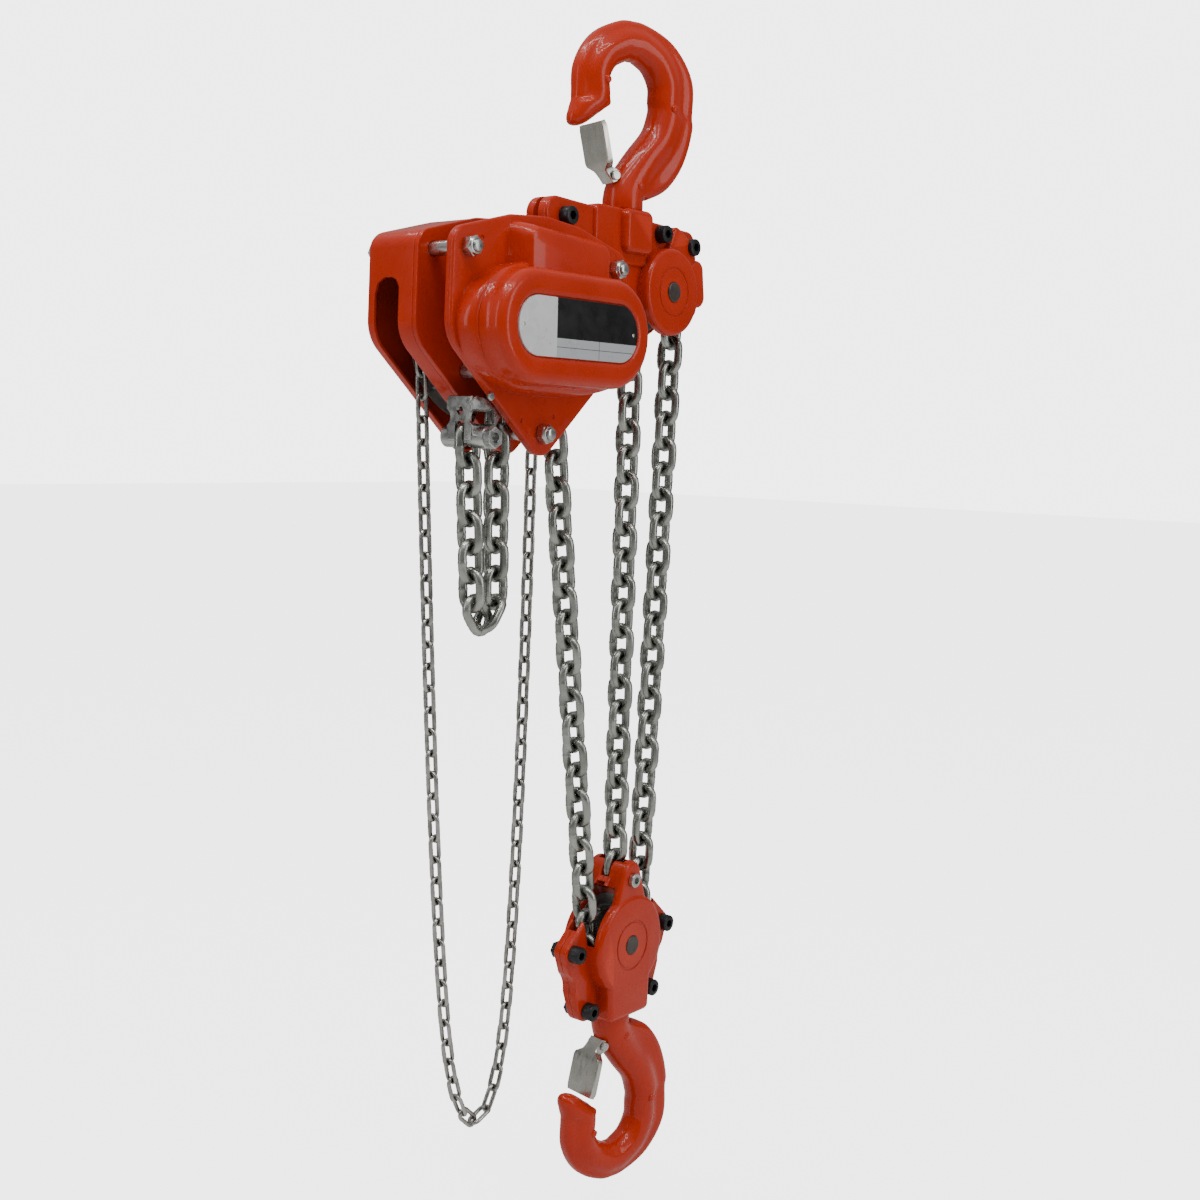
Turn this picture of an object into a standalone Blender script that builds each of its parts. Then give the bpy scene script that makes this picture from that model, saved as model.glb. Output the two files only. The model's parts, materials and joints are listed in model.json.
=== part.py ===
"""Manual chain hoist, eight-tonne class, three falls of 10 x 30 mm load chain.

All sizes below are in millimetres; MM turns them into Blender's metres. The origin is the
saddle of the top hook, where the hoist hangs. +Z is up, +X runs from the gear body towards
the idler sheave, -Y is the gear side and +Y the hand wheel side.
"""
import math

import bmesh
import bpy
from mathutils import Matrix, Vector

MM = 0.001
GAP = 0.3                       # clearance between neighbouring pieces

# Places of the main axes (x, z)
BODY = (-163.0, -309.0)         # load sheave, gears and hand wheel turn about this axis
IDLER = (62.5, -249.0)          # idler sheave in the top yoke
BLOCK = (21.0, -1017.0)         # sheave in the bottom block

# Load chain and sheaves
LINK_PITCH = 30.0
LINK_WIRE = 10.0
LINK_WIDTH = 35.0
LOAD_PITCH_R = 39.2
IDLER_PITCH_R = 39.2
BLOCK_PITCH_R = 47.0
SLACK_BOTTOM_R = 17.5
STRETCH_END = 2.6               # a stretch stops this far short of the joint with the next
SLACK_X = -53.0                 # middle of the slack loop, from the body axis
ANCHOR_PIN = (-82.7, -112.7)    # from the body axis
BLOCK_ANCHOR = (0.0, 79.0)      # from the block axis

# Hand chain and wheel
HAND_PITCH = 24.0
HAND_WIRE = 5.0
HAND_WIDTH = 17.0
HAND_PITCH_R = 90.0
HAND_Y = 63.0
HAND_DROP = 882.0               # from the body axis to the bottom of the loop

# Body, from the body axis
PLATE_IN = 19.5                 # inner faces of the two side plates
PLATE_T = 6.0
STAYS = ((-116.3, 74.5), (116.3, 74.5), (0.0, -107.5))
STAY_R = 7.5
FLANGE_Y = -29.5
LABEL_Y = -79.0
COVER_BACK_Y = 96.0
LINK_PIN = (42.0, 90.0)         # pin that holds the top yoke between the side plates
ROLLERS = ((-68.0, -45.0), (76.0, -45.0))            # chain guide rollers
PAWL_PINS = ((-58.0, 34.0), (58.0, -34.0))
RATCHET_PHASE = 139.0           # degrees to the first ratchet tooth, so that the pawls clear

# Screws and faces of the cast shells, (x, z)
YOKE_SCREWS = ((-118.0, -184.0), (52.0, -184.0), (108.0, -193.0))
YOKE_FACE = 15.0
YOKE_HALF_DEPTH = 30.0          # outer face of the yoke's sheave boss
BLOCK_SCREWS = ((-84.5, 5.0), (84.5, 5.0), (-58.0, -70.0), (58.0, -70.0))
BLOCK_FACE = 10.0
SHEAVE_ROOM = 19.8              # half width of the space each outer sheave runs in
SHEAVE_HALF = 19.4              # half width of the idler and block sheaves
CHAIN_ROOM = 6.0                # half width of the slot an edge-on link passes through
SCREW_ROOM = 5.5 + GAP
AXLE_R = 9.0
LINK_PIN_R = 8.0

# Gears
CENTRES = 57.2
DRIVE_TEETH, DISC_TEETH = 8, 44
SMALL_TEETH, LOAD_TEETH = 7, 37

# Hooks
BOWL_R = 31.0
SADDLE_DROP = BOWL_R * math.sin(math.radians(75))    # the saddle is the flat between 75 and 105 degrees
BOWL_X = 4.0                    # bowl centre, from the hook's neck axis
NECK_R = 23.0
SHANK_R = 13.0
TOP_HOOK_YAW = math.radians(-16.0)
LOW_HOOK_YAW = math.radians(-9.0)
LOW_HOOK_DROP = 252.0           # lower saddle below the block axis
LATCH_PIVOT = (-19.0, -127.0)   # from the saddle, on the neck side of the throat
LATCH_TIP = (-40.0, -77.0)
LATCH_BORE = 3.0 + GAP
SHANK_TOP = 158.0               # where the shank leaves the neck, from the saddle
NUT_SEAT = 176.6                # where the hook nut sits, from the saddle


# ---------------------------------------------------------------- helpers

def clear_scene():
    for obj in list(bpy.data.objects):
        bpy.data.objects.remove(obj, do_unlink=True)


def paint(name, colour, roughness, metallic):
    mat = bpy.data.materials.new(name)
    mat.use_nodes = True
    shader = mat.node_tree.nodes["Principled BSDF"]
    shader.inputs["Base Color"].default_value = (*colour, 1.0)
    shader.inputs["Roughness"].default_value = roughness
    shader.inputs["Metallic"].default_value = metallic
    mat.diffuse_color = (*colour, 1.0)
    return mat


RED = ((0.62, 0.065, 0.025), 0.3, 0.0)
ZINC = ((0.55, 0.56, 0.55), 0.35, 1.0)
STEEL = ((0.45, 0.45, 0.44), 0.4, 1.0)
BLACK = ((0.03, 0.03, 0.035), 0.45, 0.6)
IRON = ((0.22, 0.21, 0.2), 0.55, 0.8)
LINING = ((0.2, 0.14, 0.1), 0.9, 0.0)
PLATE_WHITE = ((0.8, 0.8, 0.78), 0.35, 0.2)


def make(name, bm, look, place=(0.0, 0.0, 0.0), turn=None, parent=None):
    """Turn a bmesh, modelled in millimetres about its own origin, into a named object."""
    bmesh.ops.recalc_face_normals(bm, faces=bm.faces)
    bmesh.ops.scale(bm, vec=(MM, MM, MM), verts=bm.verts)
    mesh = bpy.data.meshes.new(name)
    bm.to_mesh(mesh)
    bm.free()
    mesh.shade_smooth()
    mesh.set_sharp_from_angle(angle=math.radians(35))
    obj = bpy.data.objects.new(name, mesh)
    bpy.context.collection.objects.link(obj)
    if look:
        obj.data.materials.append(paint(name, *look))
    obj.location = [c * MM for c in place]
    if turn:
        obj.rotation_euler = turn
    if parent:
        obj.parent = parent
        obj.location = [c * MM - p for c, p in zip(place, parent.location)]
    return obj


def axis_empty(name, place):
    empty = bpy.data.objects.new(name, None)
    bpy.context.collection.objects.link(empty)
    empty.location = [c * MM for c in place]
    return empty


def cutter(name, bm, place=(0.0, 0.0, 0.0)):
    obj = make(name, bm, None, place)
    obj.hide_render = True
    obj.display_type = "WIRE"
    return obj


def combine(obj, tool, operation):
    mod = obj.modifiers.new(tool.name, "BOOLEAN")
    mod.operation = operation
    mod.solver = "EXACT"
    mod.use_self = True
    mod.object = tool
    return obj


def arc(cx, cz, r, start, stop, steps):
    angles = [math.radians(start + (stop - start) * i / steps) for i in range(steps + 1)]
    return [(cx + r * math.cos(a), cz + r * math.sin(a)) for a in angles]


def circle(cx, cz, r, steps=12):
    return arc(cx, cz, r, 0, 360, steps)[:-1]


def hull(*circles, steps=16):
    """Counter-clockwise outline of the belt that goes round a set of (x, z, r) circles."""
    points = sorted(p for c in circles for p in circle(*c, steps=steps))

    def half(sequence):
        chain = []
        for p in sequence:
            while len(chain) > 1:
                a, b = chain[-2], chain[-1]
                turn = (b[0] - a[0]) * (p[1] - a[1]) - (b[1] - a[1]) * (p[0] - a[0])
                if turn > 1e-6:
                    break
                chain.pop()
            chain.append(p)
        return chain[:-1]

    return half(points) + half(reversed(points))


def prism(bm, outline, y0, y1):
    """A closed slab: an (x, z) outline from y0 to y1."""
    near = [bm.verts.new((x, y0, z)) for x, z in outline]
    far = [bm.verts.new((x, y1, z)) for x, z in outline]
    count = len(outline)
    bm.faces.new(near)
    bm.faces.new(far)
    for i in range(count):
        j = (i + 1) % count
        bm.faces.new((near[i], near[j], far[j], far[i]))
    return bm


def slab(outline, y0, y1):
    return prism(bmesh.new(), outline, y0, y1)


def holes(name, spots, y0, y1, place=(0.0, 0.0, 0.0), steps=10):
    """One cutter that drills round holes, given as (x, z, r), along Y."""
    bm = bmesh.new()
    for x, z, r in spots:
        prism(bm, circle(x, z, r / math.cos(math.pi / steps), steps), y0, y1)
    return cutter(name, bm, place)


def turned(profile, steps=16, closed=False, bm=None, centre=(0.0, 0.0)):
    """Revolve an (r, y) profile about the Y axis through centre (x, z)."""
    bm = bm or bmesh.new()
    rings = []
    for r, y in profile:
        if r < 1e-6:
            rings.append([bm.verts.new((centre[0], y, centre[1]))])
            continue
        rings.append([bm.verts.new((centre[0] + x, y, centre[1] + z)) for x, z in circle(0, 0, r, steps)])
    pairs = list(zip(rings, rings[1:]))
    if closed:
        pairs.append((rings[-1], rings[0]))
    for a, b in pairs:
        for i in range(steps):
            j = (i + 1) % steps
            if len(a) == 1:
                bm.faces.new((a[0], b[i], b[j]))
            elif len(b) == 1:
                bm.faces.new((a[i], a[j], b[0]))
            else:
                bm.faces.new((a[i], a[j], b[j], b[i]))
    return bm


def loft(bm, rings):
    """Join rings of equal length and cap both ends."""
    loops = [[bm.verts.new(p) for p in ring] for ring in rings]
    count = len(loops[0])
    for a, b in zip(loops, loops[1:]):
        for i in range(count):
            j = (i + 1) % count
            bm.faces.new((a[i], a[j], b[j], b[i]))
    bm.faces.new(loops[0])
    bm.faces.new(loops[-1])
    return bm


def gear_outline(teeth, pitch_r, tooth_at):
    """Straight-sided teeth with backlash. tooth_at is the angle of one tooth's middle."""
    module = 2.0 * pitch_r / teeth
    tip, root = pitch_r + 0.8 * module, pitch_r - 1.1 * module
    step = 2.0 * math.pi / teeth
    points = []
    for i in range(teeth):
        middle = tooth_at + i * step
        for share, r in ((-0.27, root), (-0.1, tip), (0.1, tip), (0.27, root)):
            a = middle + share * step
            points.append((r * math.cos(a), r * math.sin(a)))
    return points


# ---------------------------------------------------------------- chains

def chords(path, pitch):
    """Points along an (x, z) path, each one pitch from the last in a straight line."""
    nodes = [path[0]]
    for a, b in zip(path, path[1:]):
        start = a
        while math.dist(nodes[-1], b) >= pitch:
            low, high = 0.0, 1.0
            for _ in range(30):
                mid = (low + high) / 2.0
                spot = (start[0] + (b[0] - start[0]) * mid, start[1] + (b[1] - start[1]) * mid)
                low, high = (mid, high) if math.dist(nodes[-1], spot) < pitch else (low, mid)
            nodes.append(spot)
            start = spot
    return nodes


def tangent_side(a, b, reach, side):
    """Unit normal n of a belt line from circle a to circle b, with n . (b - a) = reach."""
    dx, dz = b[0] - a[0], b[1] - a[1]
    base = math.atan2(dz, dx)
    swing = math.acos(reach / math.hypot(dx, dz))
    angles = (base + swing, base - swing)
    return max(angles, key=lambda t: side * math.cos(t))


def load_chain_path(slack_z):
    """From the anchor in the block, up over the idler, round both sheaves, to the end anchor.

    Returns the dense path and the stretch that each point belongs to.
    """
    hang = LINK_PITCH / 2.0 - LINK_WIRE / 2.0 - 1.0
    low = (BLOCK[0] + BLOCK_ANCHOR[0], BLOCK[1] + BLOCK_ANCHOR[1] + hang - LINK_PITCH / 2.0)
    path = [low]
    path += arc(*IDLER, IDLER_PITCH_R, 180, 0, 24)
    right = tangent_side(BLOCK, IDLER, BLOCK_PITCH_R - IDLER_PITCH_R, 1)
    left = tangent_side(BODY, BLOCK, LOAD_PITCH_R + BLOCK_PITCH_R, 1)
    path += arc(*BLOCK, BLOCK_PITCH_R, math.degrees(right), math.degrees(left) - 180, 24)
    path += arc(*BODY, LOAD_PITCH_R, math.degrees(left), 180, 24)
    loop_x = BODY[0] + SLACK_X
    path += arc(loop_x, slack_z, SLACK_BOTTOM_R, 0, -180, 16)
    end = (BODY[0] + ANCHOR_PIN[0], BODY[1] + ANCHOR_PIN[1] - hang + LINK_PITCH / 2.0)
    path.append(end)
    return path


def settle(build, low, high, pitch, odd):
    """Find the loop depth at which the last link of an odd or even chain ends on the path's end."""
    def excess(depth):
        path = build(depth)
        nodes = chords(path, pitch)
        return len(nodes) - 1 + math.dist(nodes[-1], path[-1]) / pitch

    wanted = round(excess((low + high) / 2.0))
    wanted += (wanted % 2 == 1) != odd
    for _ in range(40):
        mid = (low + high) / 2.0
        low, high = (low, mid) if excess(mid) < wanted else (mid, high)
    return chords(build((low + high) / 2.0), pitch), wanted


def chain_stretch(name, nodes, picks, y, size):
    """A stretch of chain as one faceted bar: as wide as a link at each link's middle, as thick as
    the wire where two links meet, and turned a quarter from each link to the next."""
    wire, width = size
    side = Vector((0.0, 1.0, 0.0))
    rings = []

    def ring(middle, normal, half_normal, half_side):
        signs = ((1, 1), (-1, 1), (-1, -1), (1, -1))
        return [middle + normal * (u * half_normal) + side * (v * half_side) for u, v in signs]

    for i in picks:
        a = Vector((nodes[i][0], y, nodes[i][1]))
        b = Vector((nodes[i + 1][0], y, nodes[i + 1][1]))
        along = (b - a).normalized()
        normal = along.cross(side)
        halves = (width / 2.0, wire / 2.0) if i % 2 == 0 else (wire / 2.0, width / 2.0)
        if not rings:
            rings.append(ring(a + along * STRETCH_END, normal, wire / 2.0, wire / 2.0))
        rings.append(ring((a + b) / 2.0, normal, *halves))
        inset = STRETCH_END if i == picks[-1] else 0.5
        rings.append(ring(b - along * inset, normal, wire / 2.0, wire / 2.0))
    return make(name, loft(bmesh.new(), rings), ZINC)


# Stretches of load chain in order from the block's anchor, with the height that ends each one
# and whether the chain rises or falls past it
STRETCHES = (("middle_fall_chain", IDLER[1], 1), ("idler_wrap_chain", IDLER[1], -1),
             ("right_fall_chain", BLOCK[1], -1), ("block_wrap_chain", BLOCK[1], 1),
             ("left_fall_chain", BODY[1], 1), ("slack_chain", None, 0))


def load_chain():
    nodes, count = settle(load_chain_path, BODY[1] - 330.0, BODY[1] - 250.0, LINK_PITCH, True)
    if len(nodes) == count:
        nodes.append(load_chain_path(BODY[1])[-1])
    groups = [[] for _ in STRETCHES]
    stage = 0
    for i in range(count):
        height = (nodes[i][1] + nodes[i + 1][1]) / 2.0
        _, limit, way = STRETCHES[stage]
        if way and (height - limit) * way > 0:
            stage += 1
        groups[stage].append(i)
    eyes = {"middle_fall_chain": (BLOCK[0] + BLOCK_ANCHOR[0], BLOCK[1] + BLOCK_ANCHOR[1], 6.0 + GAP),
            "slack_chain": (BODY[0] + ANCHOR_PIN[0], BODY[1] + ANCHOR_PIN[1], 6.0 + GAP)}
    for (name, _, _), picks in zip(STRETCHES, groups):
        stretch = chain_stretch(name, nodes, picks, 0.0, (LINK_WIRE, LINK_WIDTH))
        if name in eyes:
            combine(stretch, holes(name + "_eye", [eyes[name]], -20, 20), "DIFFERENCE")


def hand_chain_path(bottom_z):
    """The endless hand chain: half a turn over the wheel, then a slack V below it."""
    wheel = arc(*BODY, HAND_PITCH_R, 180, 0, 40)
    drop = BODY[1] - bottom_z
    sag = []
    for i in range(121):
        h = drop * (i / 120.0) ** 4
        shrink = 1.0 - 0.35 * math.exp(-h / 30.0)
        half = HAND_PITCH_R * (h / drop) ** 0.291 * shrink
        centre = BODY[0] + 18.0 * (1.0 - h / drop)
        sag.append((centre, half, bottom_z + h))
    right = [(c + w, z) for c, w, z in reversed(sag)]
    left = [(c - w, z) for c, w, z in sag]
    return wheel + right[1:] + left[1:]


def hand_chain():
    low = BODY[1] - HAND_DROP
    nodes, count = settle(hand_chain_path, low - 25.0, low + 25.0, HAND_PITCH, False)
    nodes = nodes[:count] + [nodes[0]]
    size = (HAND_WIRE, HAND_WIDTH)
    chain_stretch("hand_chain", nodes, range(count), HAND_Y, size)


def groove_radii(pitch_r, pitch, wire, width):
    """Radii of the middle groove and of the seats that clear links whose ends lie on pitch_r."""
    middle = math.sqrt(pitch_r ** 2 - (pitch / 2.0) ** 2)
    return middle - width / 2.0 - 1.4, middle - wire / 2.0 - 1.4


def sheave(name, axis, pitch_r, half_width, flange_r, bore_r):
    """A grooved wheel: middle groove for upright links, seats for flat links, guide flanges."""
    groove, seat = groove_radii(pitch_r, LINK_PITCH, LINK_WIRE, LINK_WIDTH)
    side = [(bore_r, half_width), (flange_r, half_width), (flange_r, half_width - 0.8),
            (seat, half_width - 1.2), (seat, 7.5), (groove, 6.0)]
    profile = [(r, -y) for r, y in side] + [(r, y) for r, y in reversed(side)]
    return make(name, turned(profile, 20, closed=True), IRON, (axis[0], 0.0, axis[1]))


# ---------------------------------------------------------------- body

def body_outline(inset=0.0):
    """Rounded heart shape shared by the side plates and both covers, from the body axis."""
    spots = [(0.0, 96.0, 22.0), (0.0, -107.5, 23.0)]
    for side in (-1, 1):
        spots += [(side * 50.0, 92.0, 22.0), (side * 116.3, 74.5, 21.7), (side * 98.0, 4.0, 42.0)]
    return hull(*[(x, z, r - inset) for x, z, r in spots], steps=12)


def at_body(y=0.0):
    return (BODY[0], y, BODY[1])


def side_plates():
    stay_holes = [(x, z, STAY_R + GAP) for x, z in STAYS]
    shared = stay_holes + [(0.0, 0.0, 30.0), (*LINK_PIN, 8.0 + GAP)]
    rollers = [(x, z, 4.0 + GAP) for x, z in ROLLERS]
    gear_holes = [(-CENTRES, 0.0, 5.0 + GAP), (CENTRES, 0.0, 5.0 + GAP)]
    pawl_holes = [(x, z, 5.0 + GAP) for x, z in PAWL_PINS]
    outer = PLATE_IN + PLATE_T
    for name, y0, y1, extra in (("gear_side_plate", -outer + GAP, -PLATE_IN, gear_holes),
                                ("wheel_side_plate", PLATE_IN, outer, pawl_holes)):
        plate = make(name, slab(body_outline(0.5), y0, y1), RED, at_body())
        tool = holes(name + "_holes", shared + rollers + extra, y0 - 5, y1 + 5, at_body())
        combine(plate, tool, "DIFFERENCE")


def cover_ring(y, straight, rx, rz, count=24):
    """A ring between a stadium and an ellipse: two half-round ends set apart by a straight."""
    ring = []
    for i in range(count):
        a = 2.0 * math.pi * (i + 0.5) / count
        shift = straight if math.cos(a) > 0 else -straight
        ring.append((shift + rx * math.cos(a), y, rz * math.sin(a)))
    return ring


def gear_cover():
    """Flange, round bulge, raised hump and stadium front with a recess for the data plate."""
    flange = make("gear_cover", slab(body_outline(), FLANGE_Y, -PLATE_IN - PLATE_T), RED, at_body())
    dome = [(-27, 20, 111, 76), (-40, 22, 108, 74), (-50, 38, 86, 66), (-58, 58, 62, 60), (-70, 62, 58, 58),
            (-77, 62, 55, 55), (-80, 62, 48, 48), (-80.1, 65, 31.5, 31.5), (LABEL_Y, 65, 31.3, 31.3)]
    combine(flange, cutter("dome", loft(bmesh.new(), [cover_ring(*r) for r in dome]), at_body()), "UNION")
    hump = []
    for y, x0, x1, top in ((-27, -84, 84, 112), (-50, -74, 74, 104), (-57, -66, 66, 94)):
        corner = 14.0
        outline = [(x0, 30.0)] + [(x1, 30.0)] + arc(x1 - corner, top - corner, corner, 0, 90, 3)
        outline += arc(x0 + corner, top - corner, corner, 90, 180, 3)
        hump.append([(x, y, z) for x, z in outline])
    combine(flange, cutter("hump", loft(bmesh.new(), hump), at_body()), "UNION")
    inside = [(-20, 20, 107, 72), (-38, 22, 104, 70), (-48, 38, 82, 62), (-57, 58, 58, 56), (-70, 62, 54, 54),
              (-75, 62, 48, 48)]
    combine(flange, cutter("gear_space", loft(bmesh.new(), [cover_ring(*r) for r in inside]), at_body()),
            "DIFFERENCE")
    spots = [(x, z, STAY_R + GAP) for x, z in STAYS]
    combine(flange, holes("gear_cover_holes", spots, -60, -20, at_body()), "DIFFERENCE")


def data_plate():
    outline = arc(65, 0, 30, -90, 90, 12) + arc(-65, 0, 30, 90, 270, 12)
    make("data_plate", slab(outline, LABEL_Y - 1.0, LABEL_Y - GAP), PLATE_WHITE, at_body())


def wheel_cover():
    """A cup round the hand wheel, open below and at the sides where the hand chain leaves."""
    front = PLATE_IN + PLATE_T + GAP
    cup = make("wheel_cover", slab(body_outline(1.0), front, COVER_BACK_Y), RED, at_body())
    combine(cup, cutter("wheel_space", slab(body_outline(4.0), front - 5, COVER_BACK_Y - 3), at_body()),
            "DIFFERENCE")
    window = slab([(-150, 46), (-150, -150), (150, -150), (150, 46)], 46, 80)
    combine(cup, cutter("chain_window", window, at_body()), "DIFFERENCE")
    spots = [(x, z, STAY_R + GAP) for x, z in STAYS]
    combine(cup, holes("wheel_cover_holes", spots, 85, 105, at_body()), "DIFFERENCE")


def bolt(name, profile, nuts, look, place, steps=12):
    """A turned bolt with hexagonal nuts, each given as (y0, y1, width across flats)."""
    obj = make(name, turned(profile, steps), look, place)
    for i, (y0, y1, across) in enumerate(nuts):
        nut = turned([(0, y0), (across / math.sqrt(3.0), y0), (across / math.sqrt(3.0), y1), (0, y1)], 6)
        combine(obj, cutter(f"{name}_nut_{i}", nut, place), "UNION")
    return obj


def stays():
    for (x, z), where in zip(STAYS, ("left", "right", "bottom")):
        profile = [(0, -47), (5.5, -47), (6.2, -46), (6.2, -32), (STAY_R, -32),
                   (STAY_R, 99), (6.2, 99), (6.2, 108), (0, 108)]
        nuts = ((-41.5, FLANGE_Y - GAP, 19.0), (COVER_BACK_Y + GAP, COVER_BACK_Y + 9, 19.0))
        bolt("stay_bolt_" + where, profile, nuts, ZINC, (BODY[0] + x, 0.0, BODY[1] + z))


def sheave_bearings():
    for y, where in ((-22.4, "gear_side"), (22.5, "wheel_side")):
        profile = [(24.9, y - 2.6), (29.7, y - 2.6), (29.7, y + 2.6), (24.9, y + 2.6)]
        make("sheave_bearing_" + where, turned(profile, 16, closed=True), STEEL, at_body())


def load_sheave():
    groove, seat = groove_radii(LOAD_PITCH_R, LINK_PITCH, LINK_WIRE, LINK_WIDTH)
    profile = [(8.4, -41), (16, -41), (16, -26), (24, -26), (24, -18.9), (seat, -18.9), (seat, -7.5),
               (groove, -6), (groove, 6), (seat, 7.5), (seat, 18.9), (24, 18.9), (24, 26), (8.4, 26)]
    make("load_sheave", turned(profile, 20, closed=True), IRON, at_body())


def chain_guides():
    for (x, z), where in zip(ROLLERS, ("left", "right")):
        profile = [(0, -25), (4, -25), (4, -18.5), (8, -18.5), (8, 18.5), (4, 18.5), (4, 25), (0, 25)]
        make("guide_roller_" + where, turned(profile, 12), STEEL, (BODY[0] + x, 0.0, BODY[1] + z))
    make("chain_stripper", slab(hull((0, -46, 6), (0, -76, 9), steps=12), -19.2, 19.2), STEEL, at_body())


def gears():
    """Two-stage train: drive shaft, two disc gears beside it, load gear on the load sheave."""
    drive_r = CENTRES * DRIVE_TEETH / (DRIVE_TEETH + DISC_TEETH)
    disc_r = CENTRES - drive_r
    small_r = CENTRES * SMALL_TEETH / (SMALL_TEETH + LOAD_TEETH)
    load_r = CENTRES - small_r
    shaft = turned([(0, -64), (8, -64), (8, 46), (7, 46), (7, 88), (0, 88)], 16)
    shaft = make("drive_shaft", shaft, STEEL, at_body())
    wheel_nut = turned([(0, 78.3), (12.7, 78.3), (12.7, 85), (0, 85)], 6)
    combine(shaft, cutter("wheel_nut", wheel_nut, at_body()), "UNION")
    relief = turned([(6, -54), (14, -54), (14, -43.5), (6, -43.5)], 16, closed=True)
    combine(shaft, cutter("pinion_space", relief, at_body()), "DIFFERENCE")
    combine(shaft, cutter("pinion_teeth", slab(gear_outline(DRIVE_TEETH, drive_r, 0.0), -54.5, -43.0),
                          at_body()), "UNION")
    load = make("load_gear", slab(gear_outline(LOAD_TEETH, load_r, 0.0), -40, -28), STEEL, at_body())
    combine(load, holes("load_gear_bore", [(0, 0, 16.0 + GAP)], -50, -20, at_body()), "DIFFERENCE")
    for side, name in ((-1, "disc_gear_left"), (1, "disc_gear_right")):
        place = (BODY[0] + side * CENTRES, 0.0, BODY[1])
        facing = math.pi if side > 0 else 0.0
        half_tooth = math.pi / DISC_TEETH
        rim = slab(gear_outline(DISC_TEETH, disc_r, facing + half_tooth), -53, -44.5)
        disc = make(name, rim, STEEL, place)
        tooth = facing + (math.pi / SMALL_TEETH if side > 0 else 0.0)
        small = slab(gear_outline(SMALL_TEETH, small_r, tooth), -46, -27)
        combine(disc, cutter(name + "_small", small, place), "UNION")
        axle = turned([(0, -60), (5, -60), (5, -20), (0, -20)], 12)
        combine(disc, cutter(name + "_axle", axle, place), "UNION")


def brake():
    """Load brake stack on the drive shaft, between the wheel side plate and the hand wheel."""
    hub = [(8.4, 27), (38, 27), (38, 33), (14, 33), (14, 45.9), (8.4, 45.9)]
    make("brake_hub", turned(hub, 16, closed=True), STEEL, at_body())
    for y0, y1, where in ((33.3, 36.3, "inner"), (42.9, 45.9, "outer")):
        lining = turned([(14.4, y0), (36, y0), (36, y1), (14.4, y1)], 16, closed=True)
        make("friction_disc_" + where, lining, LINING, at_body())
    teeth = 12
    points = []
    for i in range(teeth):
        a = math.radians(RATCHET_PHASE) + 2.0 * math.pi * i / teeth
        points.append((42 * math.cos(a), 42 * math.sin(a)))
        points.append((36 * math.cos(a + 0.08), 36 * math.sin(a + 0.08)))
    disc = make("ratchet_disc", slab(points, 36.6, 42.6), STEEL, at_body())
    combine(disc, holes("ratchet_bore", [(0, 0, 14.4)], 30, 50, at_body()), "DIFFERENCE")


def pawls():
    """Each pawl turns with its own pin, which sits in the wheel side plate."""
    for side, (x, z), name in ((1, PAWL_PINS[0], "pawl_upper"), (-1, PAWL_PINS[1], "pawl_lower")):
        place = (BODY[0] + x, 0.0, BODY[1] + z)
        tip = (side * -14.0 - x, side * 45.0 - z, 3.0)
        pawl = make(name, slab(hull((0, 0, 9.0), tip, steps=12), 37, 42.2), STEEL, place)
        pin = turned([(0, 19.8), (5, 19.8), (5, 45), (0, 45)], 10)
        combine(pawl, cutter(name + "_pin", pin, place), "UNION")


def hand_wheel():
    y = HAND_Y
    groove, seat = groove_radii(HAND_PITCH_R, HAND_PITCH, HAND_WIRE, HAND_WIDTH)
    profile = [(8.4, 46.2), (34, 46.2), (34, y - 5), (74, y - 5), (74, y - 12), (96, y - 12), (96, y - 10),
               (seat, y - 9.5), (seat, y - 4.5), (groove, y - 3.5), (groove, y + 3.5), (seat, y + 4.5),
               (seat, y + 9.5), (96, y + 10), (96, y + 12), (74, y + 12), (74, y + 5), (34, y + 5),
               (34, 78), (8.4, 78)]
    make("hand_wheel", turned(profile, 20, closed=True), IRON, at_body())


def end_anchor():
    """Bracket, sleeves and pin that hold the slack end of the load chain."""
    x, z = ANCHOR_PIN
    strip = [(x - 12, z - 8), (x - 8, z - 8), (x - 8, z + 42), (x - 12, z + 42)]
    bracket = make("anchor_bracket", slab(strip, -14, 14), STEEL, at_body())
    ears = bmesh.new()
    for y0, y1 in ((-19, -15.5), (15.5, 19)):
        prism(ears, hull((x, z, 11), (x + 22, z + 26, 9), (x - 4, z + 34, 8), steps=12), y0, y1)
    prism(ears, hull((x - 8, z + 34, 4), (x - 2, z + 34, 4), steps=8), -18, 18)
    combine(bracket, cutter("bracket_ears", ears, at_body()), "UNION")
    cut = bmesh.new()
    prism(cut, [(x - 20, z - 20), (x - 5, z - 20), (x - 5, z + 22), (x - 20, z + 22)], -6.5, 6.5)
    combine(bracket, cutter("bracket_slot", cut, at_body()), "DIFFERENCE")
    combine(bracket, holes("bracket_bore", [(x, z, 6.0 + GAP)], -40, 40, at_body()), "DIFFERENCE")
    pin = turned([(0, -33), (3.2, -33), (3.2, -40), (9.5, -40), (9.5, -26), (6, -26), (6, 30), (0, 30)], 12,
                 centre=(x, z))
    make("anchor_pin", pin, ZINC, at_body())


# ---------------------------------------------------------------- top yoke

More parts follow.
